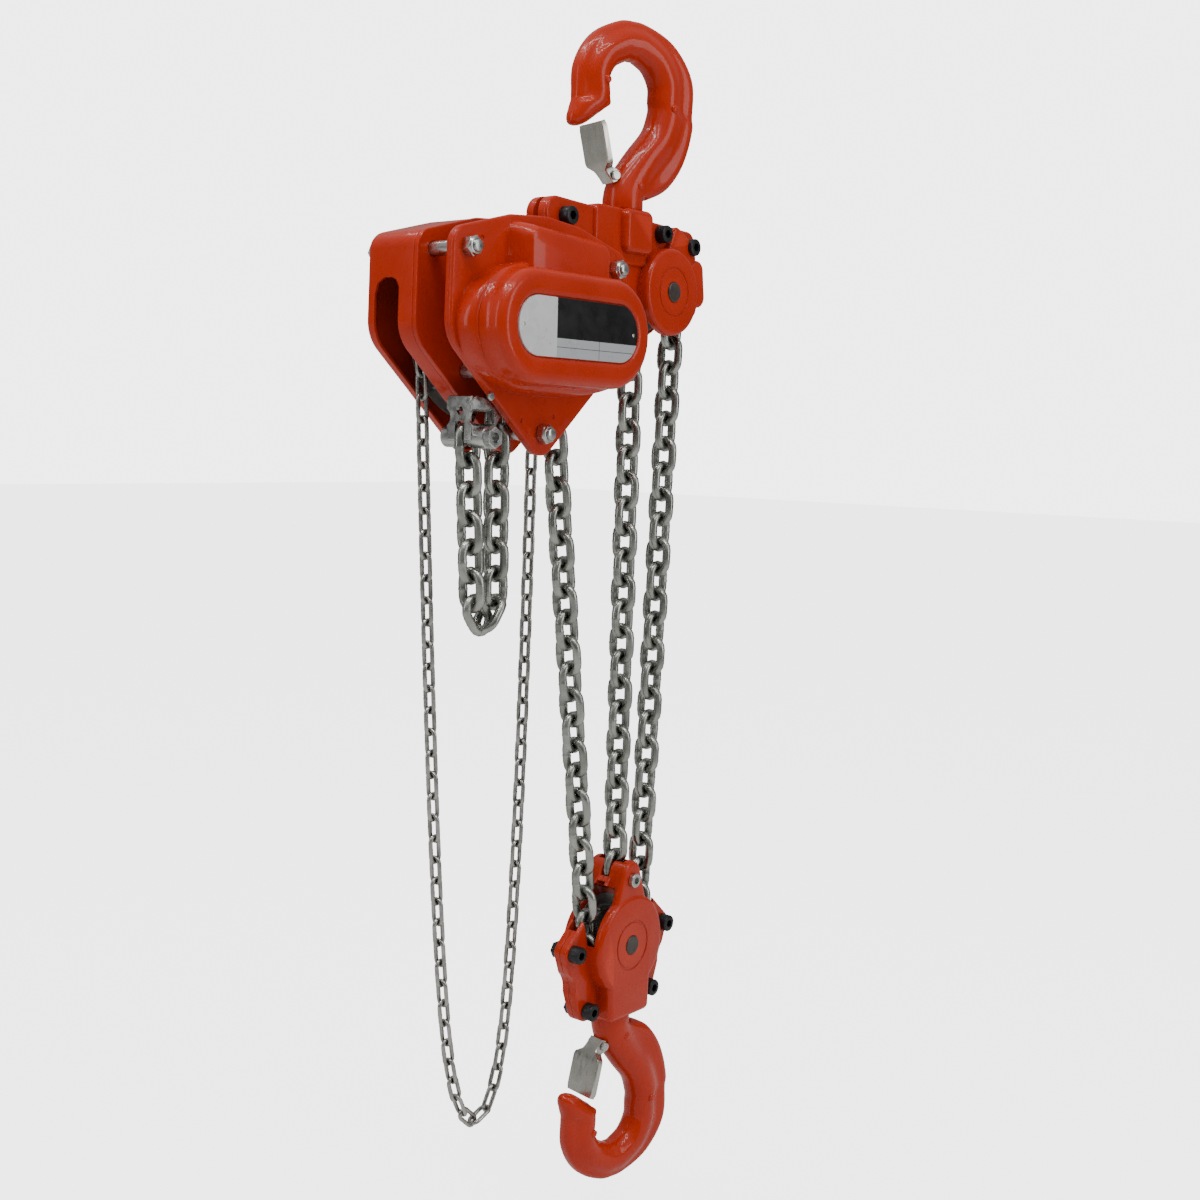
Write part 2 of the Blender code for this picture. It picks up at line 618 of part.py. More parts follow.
def top_yoke():
    """Two shells, screwed together, that carry the hook, the idler sheave and the body."""
    bx = BODY[0]
    body_top = hull(*[(BODY[0] + x, BODY[1] + z, r) for x, z, r in
                      ((0, 96, 24.5), (50, 92, 24.5), (116.3, 74.5, 24.2), (98, 4, 44))], steps=18)
    for side, name in ((-1, "yoke_front_shell"), (1, "yoke_back_shell")):
        def layer(outline, inner, outer):
            return slab(outline, side * inner, side * outer)

        wall = hull((bx + 30, -186, 14), (bx + 32, -222, 12), (108, -188, 14), (120, -250, 14), (118, -262, 12),
                    (62, -249, 30), (-35, -225, 12), steps=12)
        shell = make(name, layer(wall, 3.0, YOKE_FACE), RED)
        boss = hull((*IDLER, 53), steps=20)
        combine(shell, cutter(name + "_boss", layer(boss, 3.0, YOKE_HALF_DEPTH)), "UNION")
        block = [(-70, -225), (24, -225), (24, -163.5), (-70, -163.5)]
        combine(shell, cutter(name + "_housing", layer(block, 3.0, 18.9)), "UNION")
        column = [(-25, -212), (25, -212), (25, -163), (-25, -163)]
        combine(shell, cutter(name + "_column", layer(column, 3.0, 28.0)), "UNION")
        combine(shell, cutter(name + "_body_room", layer(body_top, 19.2, 60.0)), "DIFFERENCE")
        rooms = (("_sheave_room", circle(IDLER[0], IDLER[1], 48.5, 20), SHEAVE_ROOM),
                 ("_fall_room", [(0, -340), (140, -340), (140, -262), (0, -262)], SHEAVE_ROOM),
                 ("_link_room", circle(IDLER[0], IDLER[1], 58, 20), CHAIN_ROOM))
        for part, outline, depth in rooms:
            combine(shell, cutter(name + part, layer(outline, -1.0, depth)), "DIFFERENCE")
        hook_room = turned([(0, -150), (14, -150), (14, -176), (23.5, -176), (23.5, -205), (0, -205)], 20)
        tool = cutter(name + "_hook_room", hook_room)
        tool.rotation_euler = (math.radians(90), 0, 0)
        combine(shell, tool, "DIFFERENCE")
        spots = [(x, z, SCREW_ROOM) for x, z in YOKE_SCREWS]
        spots.append((BODY[0] + LINK_PIN[0], BODY[1] + LINK_PIN[1], LINK_PIN_R + GAP))
        spots.append((BODY[0] + STAYS[1][0], BODY[1] + STAYS[1][1], STAY_R + 1.0))
        spots.append((*IDLER, AXLE_R + GAP))
        combine(shell, holes(name + "_holes", spots, -60, 60), "DIFFERENCE")


def through_screw(name, x, z, face):
    """Socket-head screw through both shells, whose faces stand at -face and face, with its nut."""
    head = -face - GAP
    shank_r = SCREW_ROOM - GAP
    profile = [(0, head - 6), (5, head - 6), (5, head - 12), (10, head - 12), (10, head), (shank_r, head),
               (shank_r, face + 10), (0, face + 10)]
    bolt(name, profile, ((face + GAP, face + 8, 17.0),), BLACK, (x, 0.0, z), 10)


def yoke_fasteners():
    for i, (x, z) in enumerate(YOKE_SCREWS):
        through_screw(f"yoke_screw_{i + 1}", x, z, YOKE_FACE)
    pin = turned([(0, -24.5), (LINK_PIN_R, -24.5), (LINK_PIN_R, 25), (0, 25)], 16)
    make("yoke_link_pin", pin, STEEL, (BODY[0] + LINK_PIN[0], 0.0, BODY[1] + LINK_PIN[1]))
    axle = turned([(0, -32), (AXLE_R, -32), (AXLE_R, 32), (0, 32)], 16)
    make("idler_axle", axle, BLACK, (IDLER[0], 0.0, IDLER[1]))
    sheave("idler_sheave", IDLER, IDLER_PITCH_R, SHEAVE_HALF, 46.0, 9.6)


# ---------------------------------------------------------------- hooks

def hook_stations():
    """Centre line of the hook in its own plane: (x, z, half depth, half thickness, heading).

    Measured from the saddle at (BOWL_X, 0) with the bowl above the neck.
    """
    middle = BOWL_R + 23.5
    stations = [(0.0, -162.6, NECK_R, NECK_R, 90), (0.0, -147.0, NECK_R, NECK_R, 90),
                (5.0, -134.0, 22.5, 21.0, 62), (24.0, -108.0, 22.0, 20.0, 50),
                (46.0, -82.0, 22.5, 19.5, 52),
                (BOWL_X + middle - 2.0, -55.0, 23.2, 19.0, 74)]
    for angle in (-15, 15, 45, 75, 105, 135, 165):
        a = math.radians(angle)
        x = BOWL_X + middle * math.cos(a)
        z = middle * math.sin(a) - SADDLE_DROP
        stations.append((x, z, 23.5, 18.5, angle + 90))
    stations += [(-50.0, -52.0, 20.5, 17.0, 262), (-57.0, -70.0, 14.0, 15.0, 250),
                 (-64.0, -84.0, 7.0, 10.0, 245)]
    return stations


def hook_body(up):
    """Sweep a section with a rounded bowl side and a thinner back along the centre line."""
    bm = bmesh.new()
    rings = []
    for x, z, depth, thick, heading in hook_stations():
        a = math.radians(heading)
        inward = Vector((-math.sin(a), 0.0, math.cos(a)))
        middle = Vector((x, 0.0, z))
        round_neck = z < -145 and abs(x) < 1
        shape = ((1.0, 0.35), (0.8, 0.8), (0.2, 1.0), (-0.6, 0.75), (-1.0, 0.45))
        if round_neck:
            shape = ((0.97, 0.26), (0.7, 0.7), (0.0, 1.0), (-0.7, 0.7), (-0.97, 0.26))
        ring = [middle + inward * (depth * d) + Vector((0.0, thick * t, 0.0)) for d, t in shape]
        ring += [middle + inward * (depth * d) - Vector((0.0, thick * t, 0.0)) for d, t in reversed(shape)]
        rings.append([(p.x, p.y, p.z * up) for p in ring])
    return loft(bm, rings)


def hook_set(prefix, axis_x, saddle_z, up, yaw):
    """A hook, its latch and latch pin. up is 1 for the top hook, -1 for the lower one."""
    place = (axis_x, 0.0, saddle_z)
    turn = (0.0, 0.0, yaw)
    hook = make(prefix + "_hook", hook_body(up), RED, place, turn)
    shank = cutter(prefix + "_shank", turned([(0, 0), (SHANK_R, 0), (SHANK_R, 34), (0, 34)], 16))
    shank.location = [c * MM for c in (axis_x, 0.0, saddle_z - up * SHANK_TOP)]
    shank.rotation_euler = (math.radians(-90 * up), 0.0, 0.0)
    combine(hook, shank, "UNION")
    px, pz = LATCH_PIVOT
    pivot_place = (axis_x + px * math.cos(yaw), px * math.sin(yaw), saddle_z + pz * up)
    pivot = axis_empty(prefix + "_latch_axis", pivot_place)
    pivot.rotation_euler = turn
    tip = (LATCH_TIP[0] - px, LATCH_TIP[1] - pz)
    length = math.hypot(*tip)
    lean = math.atan2(tip[1], tip[0])

    def rail(along, off):
        x = along * math.cos(lean) - off * math.sin(lean)
        z = along * math.sin(lean) + off * math.cos(lean)
        return (x, z * up)

    web = [rail(14, 13), rail(length, 6), rail(length, 4), rail(14, 11)]
    cheek = [rail(10, 12.5), rail(length - 1, 5), rail(length - 1, -4), rail(12, -5), rail(2, -6),
             rail(-6, -3), rail(-5, 5)]
    latch = make(prefix + "_latch", slab(web, -23, 23), ZINC)
    cheeks = bmesh.new()
    for y0, y1 in ((-25, -22.9), (22.9, 25)):
        prism(cheeks, cheek, y0, y1)
    cheek_tool = cutter(prefix + "_latch_cheeks", cheeks)
    bore = holes(prefix + "_latch_bore", [(0, 0, LATCH_BORE)], -30, 30)
    pin = make(prefix + "_latch_pin", turned([(0, -27), (3, -27), (3, 27), (0, 27)], 10), STEEL)
    room = holes(prefix + "_latch_room", [(0, 0, LATCH_BORE)], -30, 30)
    for piece in (latch, cheek_tool, bore, pin, room):
        piece.parent = pivot
    combine(latch, cheek_tool, "UNION")
    combine(latch, bore, "DIFFERENCE")
    combine(hook, room, "DIFFERENCE")


def hook_nut(prefix, axis_x, saddle_z, up):
    """Nut that holds a hook's shank in its shell and lets it swivel."""
    bore = SHANK_R + 2.0 * GAP
    nut = turned([(bore, 0), (22.5, 0), (22.5, 5), (20, 5), (20, 14), (bore, 14)], 20, closed=True)
    obj = make(prefix + "_hook_nut", nut, STEEL)
    obj.location = [c * MM for c in (axis_x, 0.0, saddle_z - up * NUT_SEAT)]
    obj.rotation_euler = (math.radians(-90 * up), 0.0, 0.0)


# ---------------------------------------------------------------- bottom block


def bottom_block():
    """Two shells round the sheave, with four ears for the screws and a neck for the hook."""
    for side, name in ((-1, "block_front_shell"), (1, "block_back_shell")):
        def layer(outline, inner, outer):
            return slab(outline, side * inner, side * outer)

        spots = [(x, z, 13.0) for x, z in BLOCK_SCREWS]
        upper = hull(spots[0], spots[1], spots[2], spots[3], (0, 78, 16), steps=14)
        place = (BLOCK[0], 0, BLOCK[1])
        shell = make(name, layer(upper, GAP, BLOCK_FACE), RED, place)
        parts = (("_boss", hull((0, 0, 60), steps=20), 30.0),
                 ("_head", hull((0, 84, 17), (0, 30, 34), steps=14), 28.0),
                 ("_foot", hull((0, 0, 40), (-32, -82, 6), (32, -82, 6), steps=14), 30.0))
        for part, outline, face in parts:
            combine(shell, cutter(name + part, layer(outline, GAP, face), place), "UNION")
        anchor_slot = [(-18.6, 30), (18.6, 30), (18.6, 120), (-18.6, 120)]
        rooms = (("_sheave_room", hull((0, 0, 55), (-50, 60, 22), steps=16), SHEAVE_ROOM),
                 ("_fall_room", hull((0, 0, 55), (50, 60, 22), steps=16), SHEAVE_ROOM),
                 ("_link_room", hull((0, 0, 67), (-58, 60, 26), steps=16), CHAIN_ROOM),
                 ("_link_room_right", hull((0, 0, 67), (58, 60, 26), steps=16), CHAIN_ROOM),
                 ("_anchor_slot", anchor_slot, CHAIN_ROOM),
                 ("_anchor_room", [(-7, 60), (7, 60), (7, 120), (-7, 120)], 18.5))
        for part, outline, depth in rooms:
            combine(shell, cutter(name + part, layer(outline, -1.0, depth), place), "DIFFERENCE")
        room_profile = [(0, -20), (14, -20), (14, 0), (23.5, 0), (23.5, 24), (0, 24)]
        tool = cutter(name + "_hook_room", turned(room_profile, 20))
        tool.location = [c * MM for c in (BLOCK[0], 0.0, BLOCK[1] - 78.0)]
        tool.rotation_euler = (math.radians(90), 0, 0)
        combine(shell, tool, "DIFFERENCE")
        drill = [(x, z, SCREW_ROOM) for x, z in BLOCK_SCREWS]
        drill += [(0, 0, AXLE_R + GAP), (*BLOCK_ANCHOR, 6.0 + GAP)]
        combine(shell, holes(name + "_holes", drill, -60, 60, place), "DIFFERENCE")
    for i, (x, z) in enumerate(BLOCK_SCREWS):
        through_screw(f"block_screw_{i + 1}", BLOCK[0] + x, BLOCK[1] + z, BLOCK_FACE)
    place = (BLOCK[0], 0, BLOCK[1])
    make("block_axle", turned([(0, -30), (AXLE_R, -30), (AXLE_R, 30), (0, 30)], 16), BLACK, place)
    sheave("block_sheave", BLOCK, BLOCK_PITCH_R, SHEAVE_HALF, 53.0, 9.6)
    pin = turned([(0, -31), (4, -31), (4, -34), (8.5, -34), (8.5, -28.3), (6, -28.3), (6, 30), (0, 30)], 14,
                 centre=BLOCK_ANCHOR)
    make("chain_anchor_screw", pin, ZINC, place)


# ---------------------------------------------------------------- main

def main():
    clear_scene()
    side_plates()
    gear_cover()
    data_plate()
    wheel_cover()
    stays()
    sheave_bearings()
    load_sheave()
    chain_guides()
    gears()
    brake()
    pawls()
    hand_wheel()
    end_anchor()
    top_yoke()
    yoke_fasteners()
    hook_set("top", 0.0, 0.0, 1.0, TOP_HOOK_YAW)
    hook_nut("top", 0.0, 0.0, 1.0)
    bottom_block()
    low_saddle = BLOCK[1] - LOW_HOOK_DROP
    hook_set("lower", BLOCK[0], low_saddle, -1.0, LOW_HOOK_YAW)
    hook_nut("lower", BLOCK[0], low_saddle, -1.0)
    load_chain()
    hand_chain()


main()
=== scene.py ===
import json
import math

import bmesh
import bpy
from mathutils import Matrix, Vector


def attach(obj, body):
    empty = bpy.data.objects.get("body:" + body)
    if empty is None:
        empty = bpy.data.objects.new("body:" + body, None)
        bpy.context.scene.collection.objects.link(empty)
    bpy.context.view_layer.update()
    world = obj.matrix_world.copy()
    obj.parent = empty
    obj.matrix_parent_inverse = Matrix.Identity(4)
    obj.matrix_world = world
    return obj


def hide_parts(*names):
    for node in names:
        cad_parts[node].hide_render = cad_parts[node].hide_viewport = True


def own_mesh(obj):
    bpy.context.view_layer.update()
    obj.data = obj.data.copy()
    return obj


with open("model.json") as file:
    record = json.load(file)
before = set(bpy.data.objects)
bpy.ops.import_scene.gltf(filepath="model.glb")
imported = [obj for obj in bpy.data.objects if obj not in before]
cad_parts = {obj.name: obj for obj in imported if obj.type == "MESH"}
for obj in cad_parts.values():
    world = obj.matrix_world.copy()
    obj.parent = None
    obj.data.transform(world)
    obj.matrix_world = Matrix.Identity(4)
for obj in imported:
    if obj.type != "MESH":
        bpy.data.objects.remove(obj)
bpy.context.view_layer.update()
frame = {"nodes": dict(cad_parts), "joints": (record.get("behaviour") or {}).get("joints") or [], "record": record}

# Shapes are modelled in millimetres, in the frame's axes, and turned into metres by MM.
MM = 0.001
GAP = 0.3
JOINTS = {joint["name"]: joint for joint in frame["joints"]}


def axis_of(joint):
    x, _, z = JOINTS[joint]["pos_m"]
    return (x / MM, z / MM)


BODY = axis_of("hand_wheel_spin")
IDLER = axis_of("idler_sheave_spin")
BLOCK = axis_of("block_sheave_spin")

# Load chain, hand chain and the wheels they run on
LOAD_LINK = (30.0, 10.0, 35.0)          # pitch, wire, width
HAND_LINK = (24.0, 5.0, 17.0)
LOAD_R, IDLER_R, BLOCK_R, HAND_R = 39.2, 39.2, 47.0, 90.0
SLACK_X, SLACK_R = -53.0, 17.5
HAND_Y, HAND_DROP = 63.0, 882.0
ANCHOR = (-82.7, -112.7)                # slack end anchor, from the body axis
BLOCK_ANCHOR_Z = 79.0
ANCHOR_PIN_R = 6.0

# Housings, from their own axes
PLATE_IN, PLATE_OUT = 19.5, 25.5
FLANGE_Y, LABEL_Y, COVER_BACK = -29.5, -79.0, 96.0
STAYS = ((-116.3, 74.5), (116.3, 74.5), (0.0, -107.5))
STAY_R = 7.5
YOKE_SCREWS = ((-118.0, -184.0), (52.0, -184.0), (108.0, -193.0))
YOKE_FACE = 15.0
BLOCK_SCREWS = ((-84.5, 5.0), (84.5, 5.0), (-58.0, -70.0), (58.0, -70.0))
BLOCK_FACE = 10.0
SHEAVE_ROOM, CHAIN_ROOM = 19.8, 6.0     # half depths inside the cast shells
SHEAVE_HALF, SHEAVE_BORE = 19.4, 11.7
AXLE_R, AXLE_ROOM, SCREW_ROOM = 11.3, 11.6, 5.8
RIM_STEPS = 120                         # points round a rounded outline

# Hooks
BOWL_R, BOWL_X, NECK_R, SHANK_R = 31.0, 4.0, 23.0, 13.0
SADDLE_DROP = BOWL_R * math.sin(math.radians(75))
LATCH_PIVOT = (-19.0, -127.0)
LATCH_TIP = (-40.0, -77.0)
HOOK_STEPS = 40                         # points round a hook's bar, neck or shank
LOWER_SADDLE = frame["record"]["mounts"][1]["pos_m"][2] / MM


# ---------------------------------------------------------------- materials

class Nodes:
    """A Principled material under construction: short calls for the nodes that it needs."""

    def __init__(self, name, roughness, metallic):
        self.mat = bpy.data.materials.new(name)
        self.mat.use_nodes = True
        self.tree = self.mat.node_tree
        self.shader = self.tree.nodes["Principled BSDF"]
        self.shader.inputs["Roughness"].default_value = roughness
        self.shader.inputs["Metallic"].default_value = metallic
        self.where = self.tree.nodes.new("ShaderNodeTexCoord").outputs["Object"]

    def link(self, source, target):
        self.tree.links.new(source, target)

    def noise(self, scale, detail=3.0, stretch=(1.0, 1.0, 1.0)):
        mapping = self.tree.nodes.new("ShaderNodeMapping")
        mapping.inputs["Scale"].default_value = stretch
        self.link(self.where, mapping.inputs["Vector"])
        node = self.tree.nodes.new("ShaderNodeTexNoise")
        node.inputs["Scale"].default_value = scale
        node.inputs["Detail"].default_value = detail
        self.link(mapping.outputs["Vector"], node.inputs["Vector"])
        return node.outputs["Fac"]

    def spread(self, source, low, high, start=0.3, stop=0.7):
        node = self.tree.nodes.new("ShaderNodeMapRange")
        for name, value in (("From Min", start), ("From Max", stop), ("To Min", low), ("To Max", high)):
            node.inputs[name].default_value = value
        self.link(source, node.inputs["Value"])
        return node.outputs["Result"]

    def mix(self, factor, first, second):
        node = self.tree.nodes.new("ShaderNodeMix")
        node.data_type = "RGBA"
        for slot, value in ((0, factor), (6, first), (7, second)):
            if isinstance(value, (tuple, float)):
                whole = value if isinstance(value, float) else (*value, 1.0)
                node.inputs[slot].default_value = whole
            else:
                self.link(value, node.inputs[slot])
        return node.outputs[2]

    def maths(self, operation, first, second):
        node = self.tree.nodes.new("ShaderNodeMath")
        node.operation = operation
        for slot, value in enumerate((first, second)):
            if isinstance(value, float):
                node.inputs[slot].default_value = value
            else:
                self.link(value, node.inputs[slot])
        return node.outputs[0]

    def edges(self, low, high):
        """1 on outward edges and 0 on flats."""
        point = self.tree.nodes.new("ShaderNodeNewGeometry").outputs["Pointiness"]
        return self.spread(point, 0.0, 1.0, low, high)

    def bump(self, source, strength, distance, round_edges=0.0):
        node = self.tree.nodes.new("ShaderNodeBump")
        node.inputs["Strength"].default_value = strength
        node.inputs["Distance"].default_value = distance
        self.link(source, node.inputs["Height"])
        if round_edges:
            bevel = self.tree.nodes.new("ShaderNodeBevel")
            bevel.samples = 6
            bevel.inputs["Radius"].default_value = round_edges
            self.link(bevel.outputs["Normal"], node.inputs["Normal"])
        self.link(node.outputs["Normal"], self.shader.inputs["Normal"])

    def colour(self, source):
        self.link(source, self.shader.inputs["Base Color"])


def enamel():
    """Glossy orange-red enamel over castings, with orange peel and thin spots on the edges."""
    n = Nodes("red_enamel", 0.3, 0.0)
    patches = n.spread(n.noise(14.0, 4.0), 0.0, 1.0)
    base = n.mix(patches, (0.46, 0.020, 0.002), (0.53, 0.027, 0.003))
    specks = n.spread(n.noise(260.0, 2.0), 0.0, 0.16, 0.66, 0.8)
    base = n.mix(specks, base, (0.30, 0.010, 0.002))
    base = n.mix(n.maths("MULTIPLY", n.edges(0.53, 0.62), 0.4), base, (0.78, 0.06, 0.02))
    n.colour(base)
    n.link(n.spread(n.noise(60.0, 3.0), 0.24, 0.38), n.shader.inputs["Roughness"])
    n.shader.inputs["Specular IOR Level"].default_value = 0.18
    n.shader.inputs["Coat Weight"].default_value = 0.3
    n.shader.inputs["Coat Roughness"].default_value = 0.05
    waves = n.maths("ADD", n.noise(45.0, 2.0), n.maths("MULTIPLY", n.noise(420.0, 2.0), 0.25))
    n.bump(waves, 0.045, 0.0012, 0.0018)
    return n.mat


def metal(name, light, dark, roughness, grain, stretch=(1.0, 1.0, 1.0), bump=0.12, edge=0.0,
          metallic=1.0):
    """A plated or bare metal: two tones in patches, uneven gloss and a fine surface grain."""
    n = Nodes(name, roughness, metallic)
    tone = n.mix(n.spread(n.noise(grain * 0.4, 4.0), 0.0, 1.0), dark, light)
    if edge:
        bright = tuple(min(1.0, c * 1.8) for c in light)
        tone = n.mix(n.maths("MULTIPLY", n.edges(0.52, 0.6), edge), tone, bright)
    n.colour(tone)
    gloss = n.spread(n.noise(grain, 3.0, stretch), roughness - 0.08, roughness + 0.14)
    n.link(gloss, n.shader.inputs["Roughness"])
    n.bump(n.noise(grain * 2.5, 3.0, stretch), bump, 0.0006, 0.0005)
    return n.mat


def printed():
    """The data plate: a light field, a black block and a ruled grey strip, with no lettering."""
    n = Nodes("printed_plate", 0.3, 0.1)
    split = n.tree.nodes.new("ShaderNodeSeparateXYZ")
    n.link(n.where, split.inputs[0])
    x = n.maths("SUBTRACT", split.outputs[0], BODY[0] * MM)
    z = n.maths("SUBTRACT", split.outputs[2], BODY[1] * MM)
    right = n.maths("GREATER_THAN", x, -0.038)
    upper = n.maths("GREATER_THAN", z, -0.0105)
    tone = n.mix(n.spread(n.noise(90.0), 0.0, 1.0), (0.66, 0.67, 0.67), (0.74, 0.74, 0.74))
    strip = n.maths("MULTIPLY", right, n.maths("SUBTRACT", 1.0, upper))
    tone = n.mix(strip, tone, (0.48, 0.49, 0.51))
    for line, along, offset in ((z, strip, 0.0195), (x, strip, -0.030)):
        near = n.maths("LESS_THAN", n.maths("ABSOLUTE", n.maths("ADD", line, offset), 0.0), 0.0004)
        tone = n.mix(n.maths("MULTIPLY", near, along), tone, (0.12, 0.12, 0.12))
    tone = n.mix(n.maths("MULTIPLY", right, upper), tone, (0.004, 0.004, 0.005))
    n.colour(tone)
    n.link(n.spread(n.noise(70.0), 0.22, 0.4), n.shader.inputs["Roughness"])
    n.bump(n.noise(700.0, 2.0), 0.05, 0.0003)
    return n.mat


def studio(name, tone):
    """Pale floor, which the camera sees brighter than its reflections do, as a lit backdrop."""
    n = Nodes(name, 0.85, 0.0)
    seen = n.tree.nodes.new("ShaderNodeLightPath").outputs["Is Camera Ray"]
    n.link(n.maths("MULTIPLY", seen, 3.2), n.shader.inputs["Emission Strength"])
    n.shader.inputs["Emission Color"].default_value = (1.0, 1.0, 1.0, 1.0)
    n.colour(n.mix(n.spread(n.noise(1.5), 0.0, 1.0), tone, tuple(c * 0.985 for c in tone)))
    return n.mat


RED = enamel()
CHAIN = metal("zinc_chain", (0.40, 0.41, 0.375), (0.20, 0.205, 0.185), 0.27, 110.0, bump=0.2, edge=0.3)
HAND_CHAIN = metal("hand_chain_steel", (0.42, 0.415, 0.39), (0.19, 0.19, 0.175), 0.26, 160.0, bump=0.2,
                   edge=0.3)
ZINC = metal("zinc_plate", (0.50, 0.50, 0.48), (0.34, 0.345, 0.33), 0.24, 120.0, edge=0.3)
STAINLESS = metal("brushed_sheet", (0.46, 0.45, 0.40), (0.34, 0.33, 0.30), 0.26, 220.0, (1.0, 1.0, 0.08),
                  edge=0.4)
STEEL = metal("machined_steel", (0.50, 0.50, 0.49), (0.34, 0.34, 0.33), 0.33, 160.0, edge=0.3)
BLACK = metal("black_oxide", (0.028, 0.028, 0.030), (0.016, 0.016, 0.018), 0.36, 150.0, edge=0.25,
              metallic=0.6)
BROWN = metal("dark_pin", (0.10, 0.085, 0.075), (0.065, 0.055, 0.05), 0.4, 150.0, edge=0.2,
              metallic=0.7)
IRON = metal("cast_iron", (0.24, 0.23, 0.22), (0.12, 0.12, 0.115), 0.5, 60.0, bump=0.5, edge=0.3,
             metallic=0.8)
LINING = metal("brake_lining", (0.20, 0.14, 0.10), (0.12, 0.09, 0.07), 0.75, 300.0, bump=0.5, metallic=0.0)
PRINT = printed()


# ---------------------------------------------------------------- mesh helpers

def arc(cx, cz, r, start, stop, steps):
    angles = [math.radians(start + (stop - start) * i / steps) for i in range(steps + 1)]
    return [(cx + r * math.cos(a), cz + r * math.sin(a)) for a in angles]


def belt(circles, inset=0.0):
    """Outline of the belt round (x, z, r) circles: its point in each of RIM_STEPS directions."""
    points = []
    for i in range(RIM_STEPS):
        a = 2.0 * math.pi * (i + 0.5) / RIM_STEPS
        nx, nz = math.cos(a), math.sin(a)
        x, z, r = max(circles, key=lambda c: c[0] * nx + c[1] * nz + c[2])
        reach = max(r - inset, 0.2)
        points.append((x + reach * nx, z + reach * nz))
    return points


def loft(bm, rings, closed=False):
    """Join rings of equal length, and cap the ends unless the rings close on themselves."""
    loops = [[bm.verts.new(p) for p in ring] for ring in rings]
    count = len(loops[0])
    pairs = list(zip(loops, loops[1:]))
    if closed:
        pairs.append((loops[-1], loops[0]))
    else:
        bm.faces.new(loops[0])
        bm.faces.new(loops[-1])
    for a, b in pairs:
        for i in range(count):
            j = (i + 1) % count
            bm.faces.new((a[i], a[j], b[j], b[i]))
    return bm


def prism(outline, y0, y1):
    return loft(bmesh.new(), [[(x, y, z) for x, z in outline] for y in (y0, y1)])


def slab(circles, y0, y1, near=0.0, far=0.0):
    """A belt-shaped slab whose edges at y0 and y1 are rounded by near and far."""
    way = 1.0 if y1 > y0 else -1.0
    rings = []
    for face, radius, inward in ((y0, near, way), (y1, far, -way)):
        steps = 5 if radius else 0
        side = []
        for k in range(steps + 1):
            a = math.radians(90.0 * k / steps) if steps else math.radians(90)
            drop = radius * (1.0 - math.cos(a)) if steps else 0.0
            side.append((radius * (1.0 - math.sin(a)), face + inward * drop))
        rings.append(side)
    order = rings[0] + list(reversed(rings[1]))
    return loft(bmesh.new(), [[(x, y, z) for x, z in belt(circles, inset)] for inset, y in order])


def turned(profile, steps, centre, bm=None, closed=False, phase=0.0):
    """Revolve an (r, y) profile about the Y axis through centre. Open profiles get flat ends."""
    rings = []
    for r, y in profile:
        ring = []
        for i in range(steps):
            a = 2.0 * math.pi * i / steps + phase
            ring.append((centre[0] + max(r, 0.01) * math.cos(a), y, centre[1] + max(r, 0.01) * math.sin(a)))
        rings.append(ring)
    return loft(bm or bmesh.new(), rings, closed)


def hexagon(centre, across, y0, y1, bm=None, chamfer=0.9, phase=0.0):
    """A hexagonal prism along Y with chamfered corners."""
    r = across / math.sqrt(3.0)
    way = chamfer if y1 > y0 else -chamfer
    profile = [(r - chamfer, y0), (r, y0 + way * 0.6), (r, y1 - way * 0.6), (r - chamfer, y1)]
    return turned(profile, 6, centre, bm, phase=phase)


def thread(y0, y1, r, pitch=1.6):
    """Profile points of a threaded stud end, from y0 to y1, with a chamfered tip."""
    way = 1.0 if y1 > y0 else -1.0
    points = [(r, y0)]
    y = y0
    while abs(y1 - y) > pitch:
        points += [(r - 0.7, y + way * pitch / 2.0), (r, y + way * pitch)]
        y += way * pitch
    return points + [(r - 1.2, y1)]


def raw(name, bm):
    bmesh.ops.recalc_face_normals(bm, faces=bm.faces)
    bmesh.ops.scale(bm, vec=(MM, MM, MM), verts=bm.verts)
    mesh = bpy.data.meshes.new(name)
    bm.to_mesh(mesh)
    bm.free()
    obj = bpy.data.objects.new(name, mesh)
    bpy.context.scene.collection.objects.link(obj)
    return obj


def settle_mesh(obj):
    """Replace an object's mesh with the one its modifiers make."""
    bpy.context.view_layer.update()
    mesh = bpy.data.meshes.new_from_object(obj.evaluated_get(bpy.context.evaluated_depsgraph_get()))
    obj.modifiers.clear()
    obj.data = mesh


def piece(name, bm, look, body, nodes=(), adds=(), cuts=(), sharp=32.0):
    """A visible piece: a base solid with others joined to it and cut from it."""
    obj = raw(name, bm)
    tools = []
    for operation, shapes in (("UNION", adds), ("DIFFERENCE", cuts)):
        for shape in shapes:
            tool = raw(name + "_tool", shape)
            mod = obj.modifiers.new("combine", "BOOLEAN")
            mod.operation = operation
            mod.solver = "EXACT"
            mod.object = tool
            tools.append(tool)
    if tools:
        settle_mesh(obj)
    for tool in tools:
        bpy.data.objects.remove(tool, do_unlink=True)
    obj.data.materials.clear()
    obj.data.materials.append(look)
    obj.data.shade_smooth()
    obj.data.set_sharp_from_angle(angle=math.radians(sharp))
    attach(obj, body)
    if nodes:
        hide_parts(*nodes)
    return obj


def shift(circles, place):
    return [(x + place[0], z + place[1], r) for x, z, r in circles]


# ---------------------------------------------------------------- chains

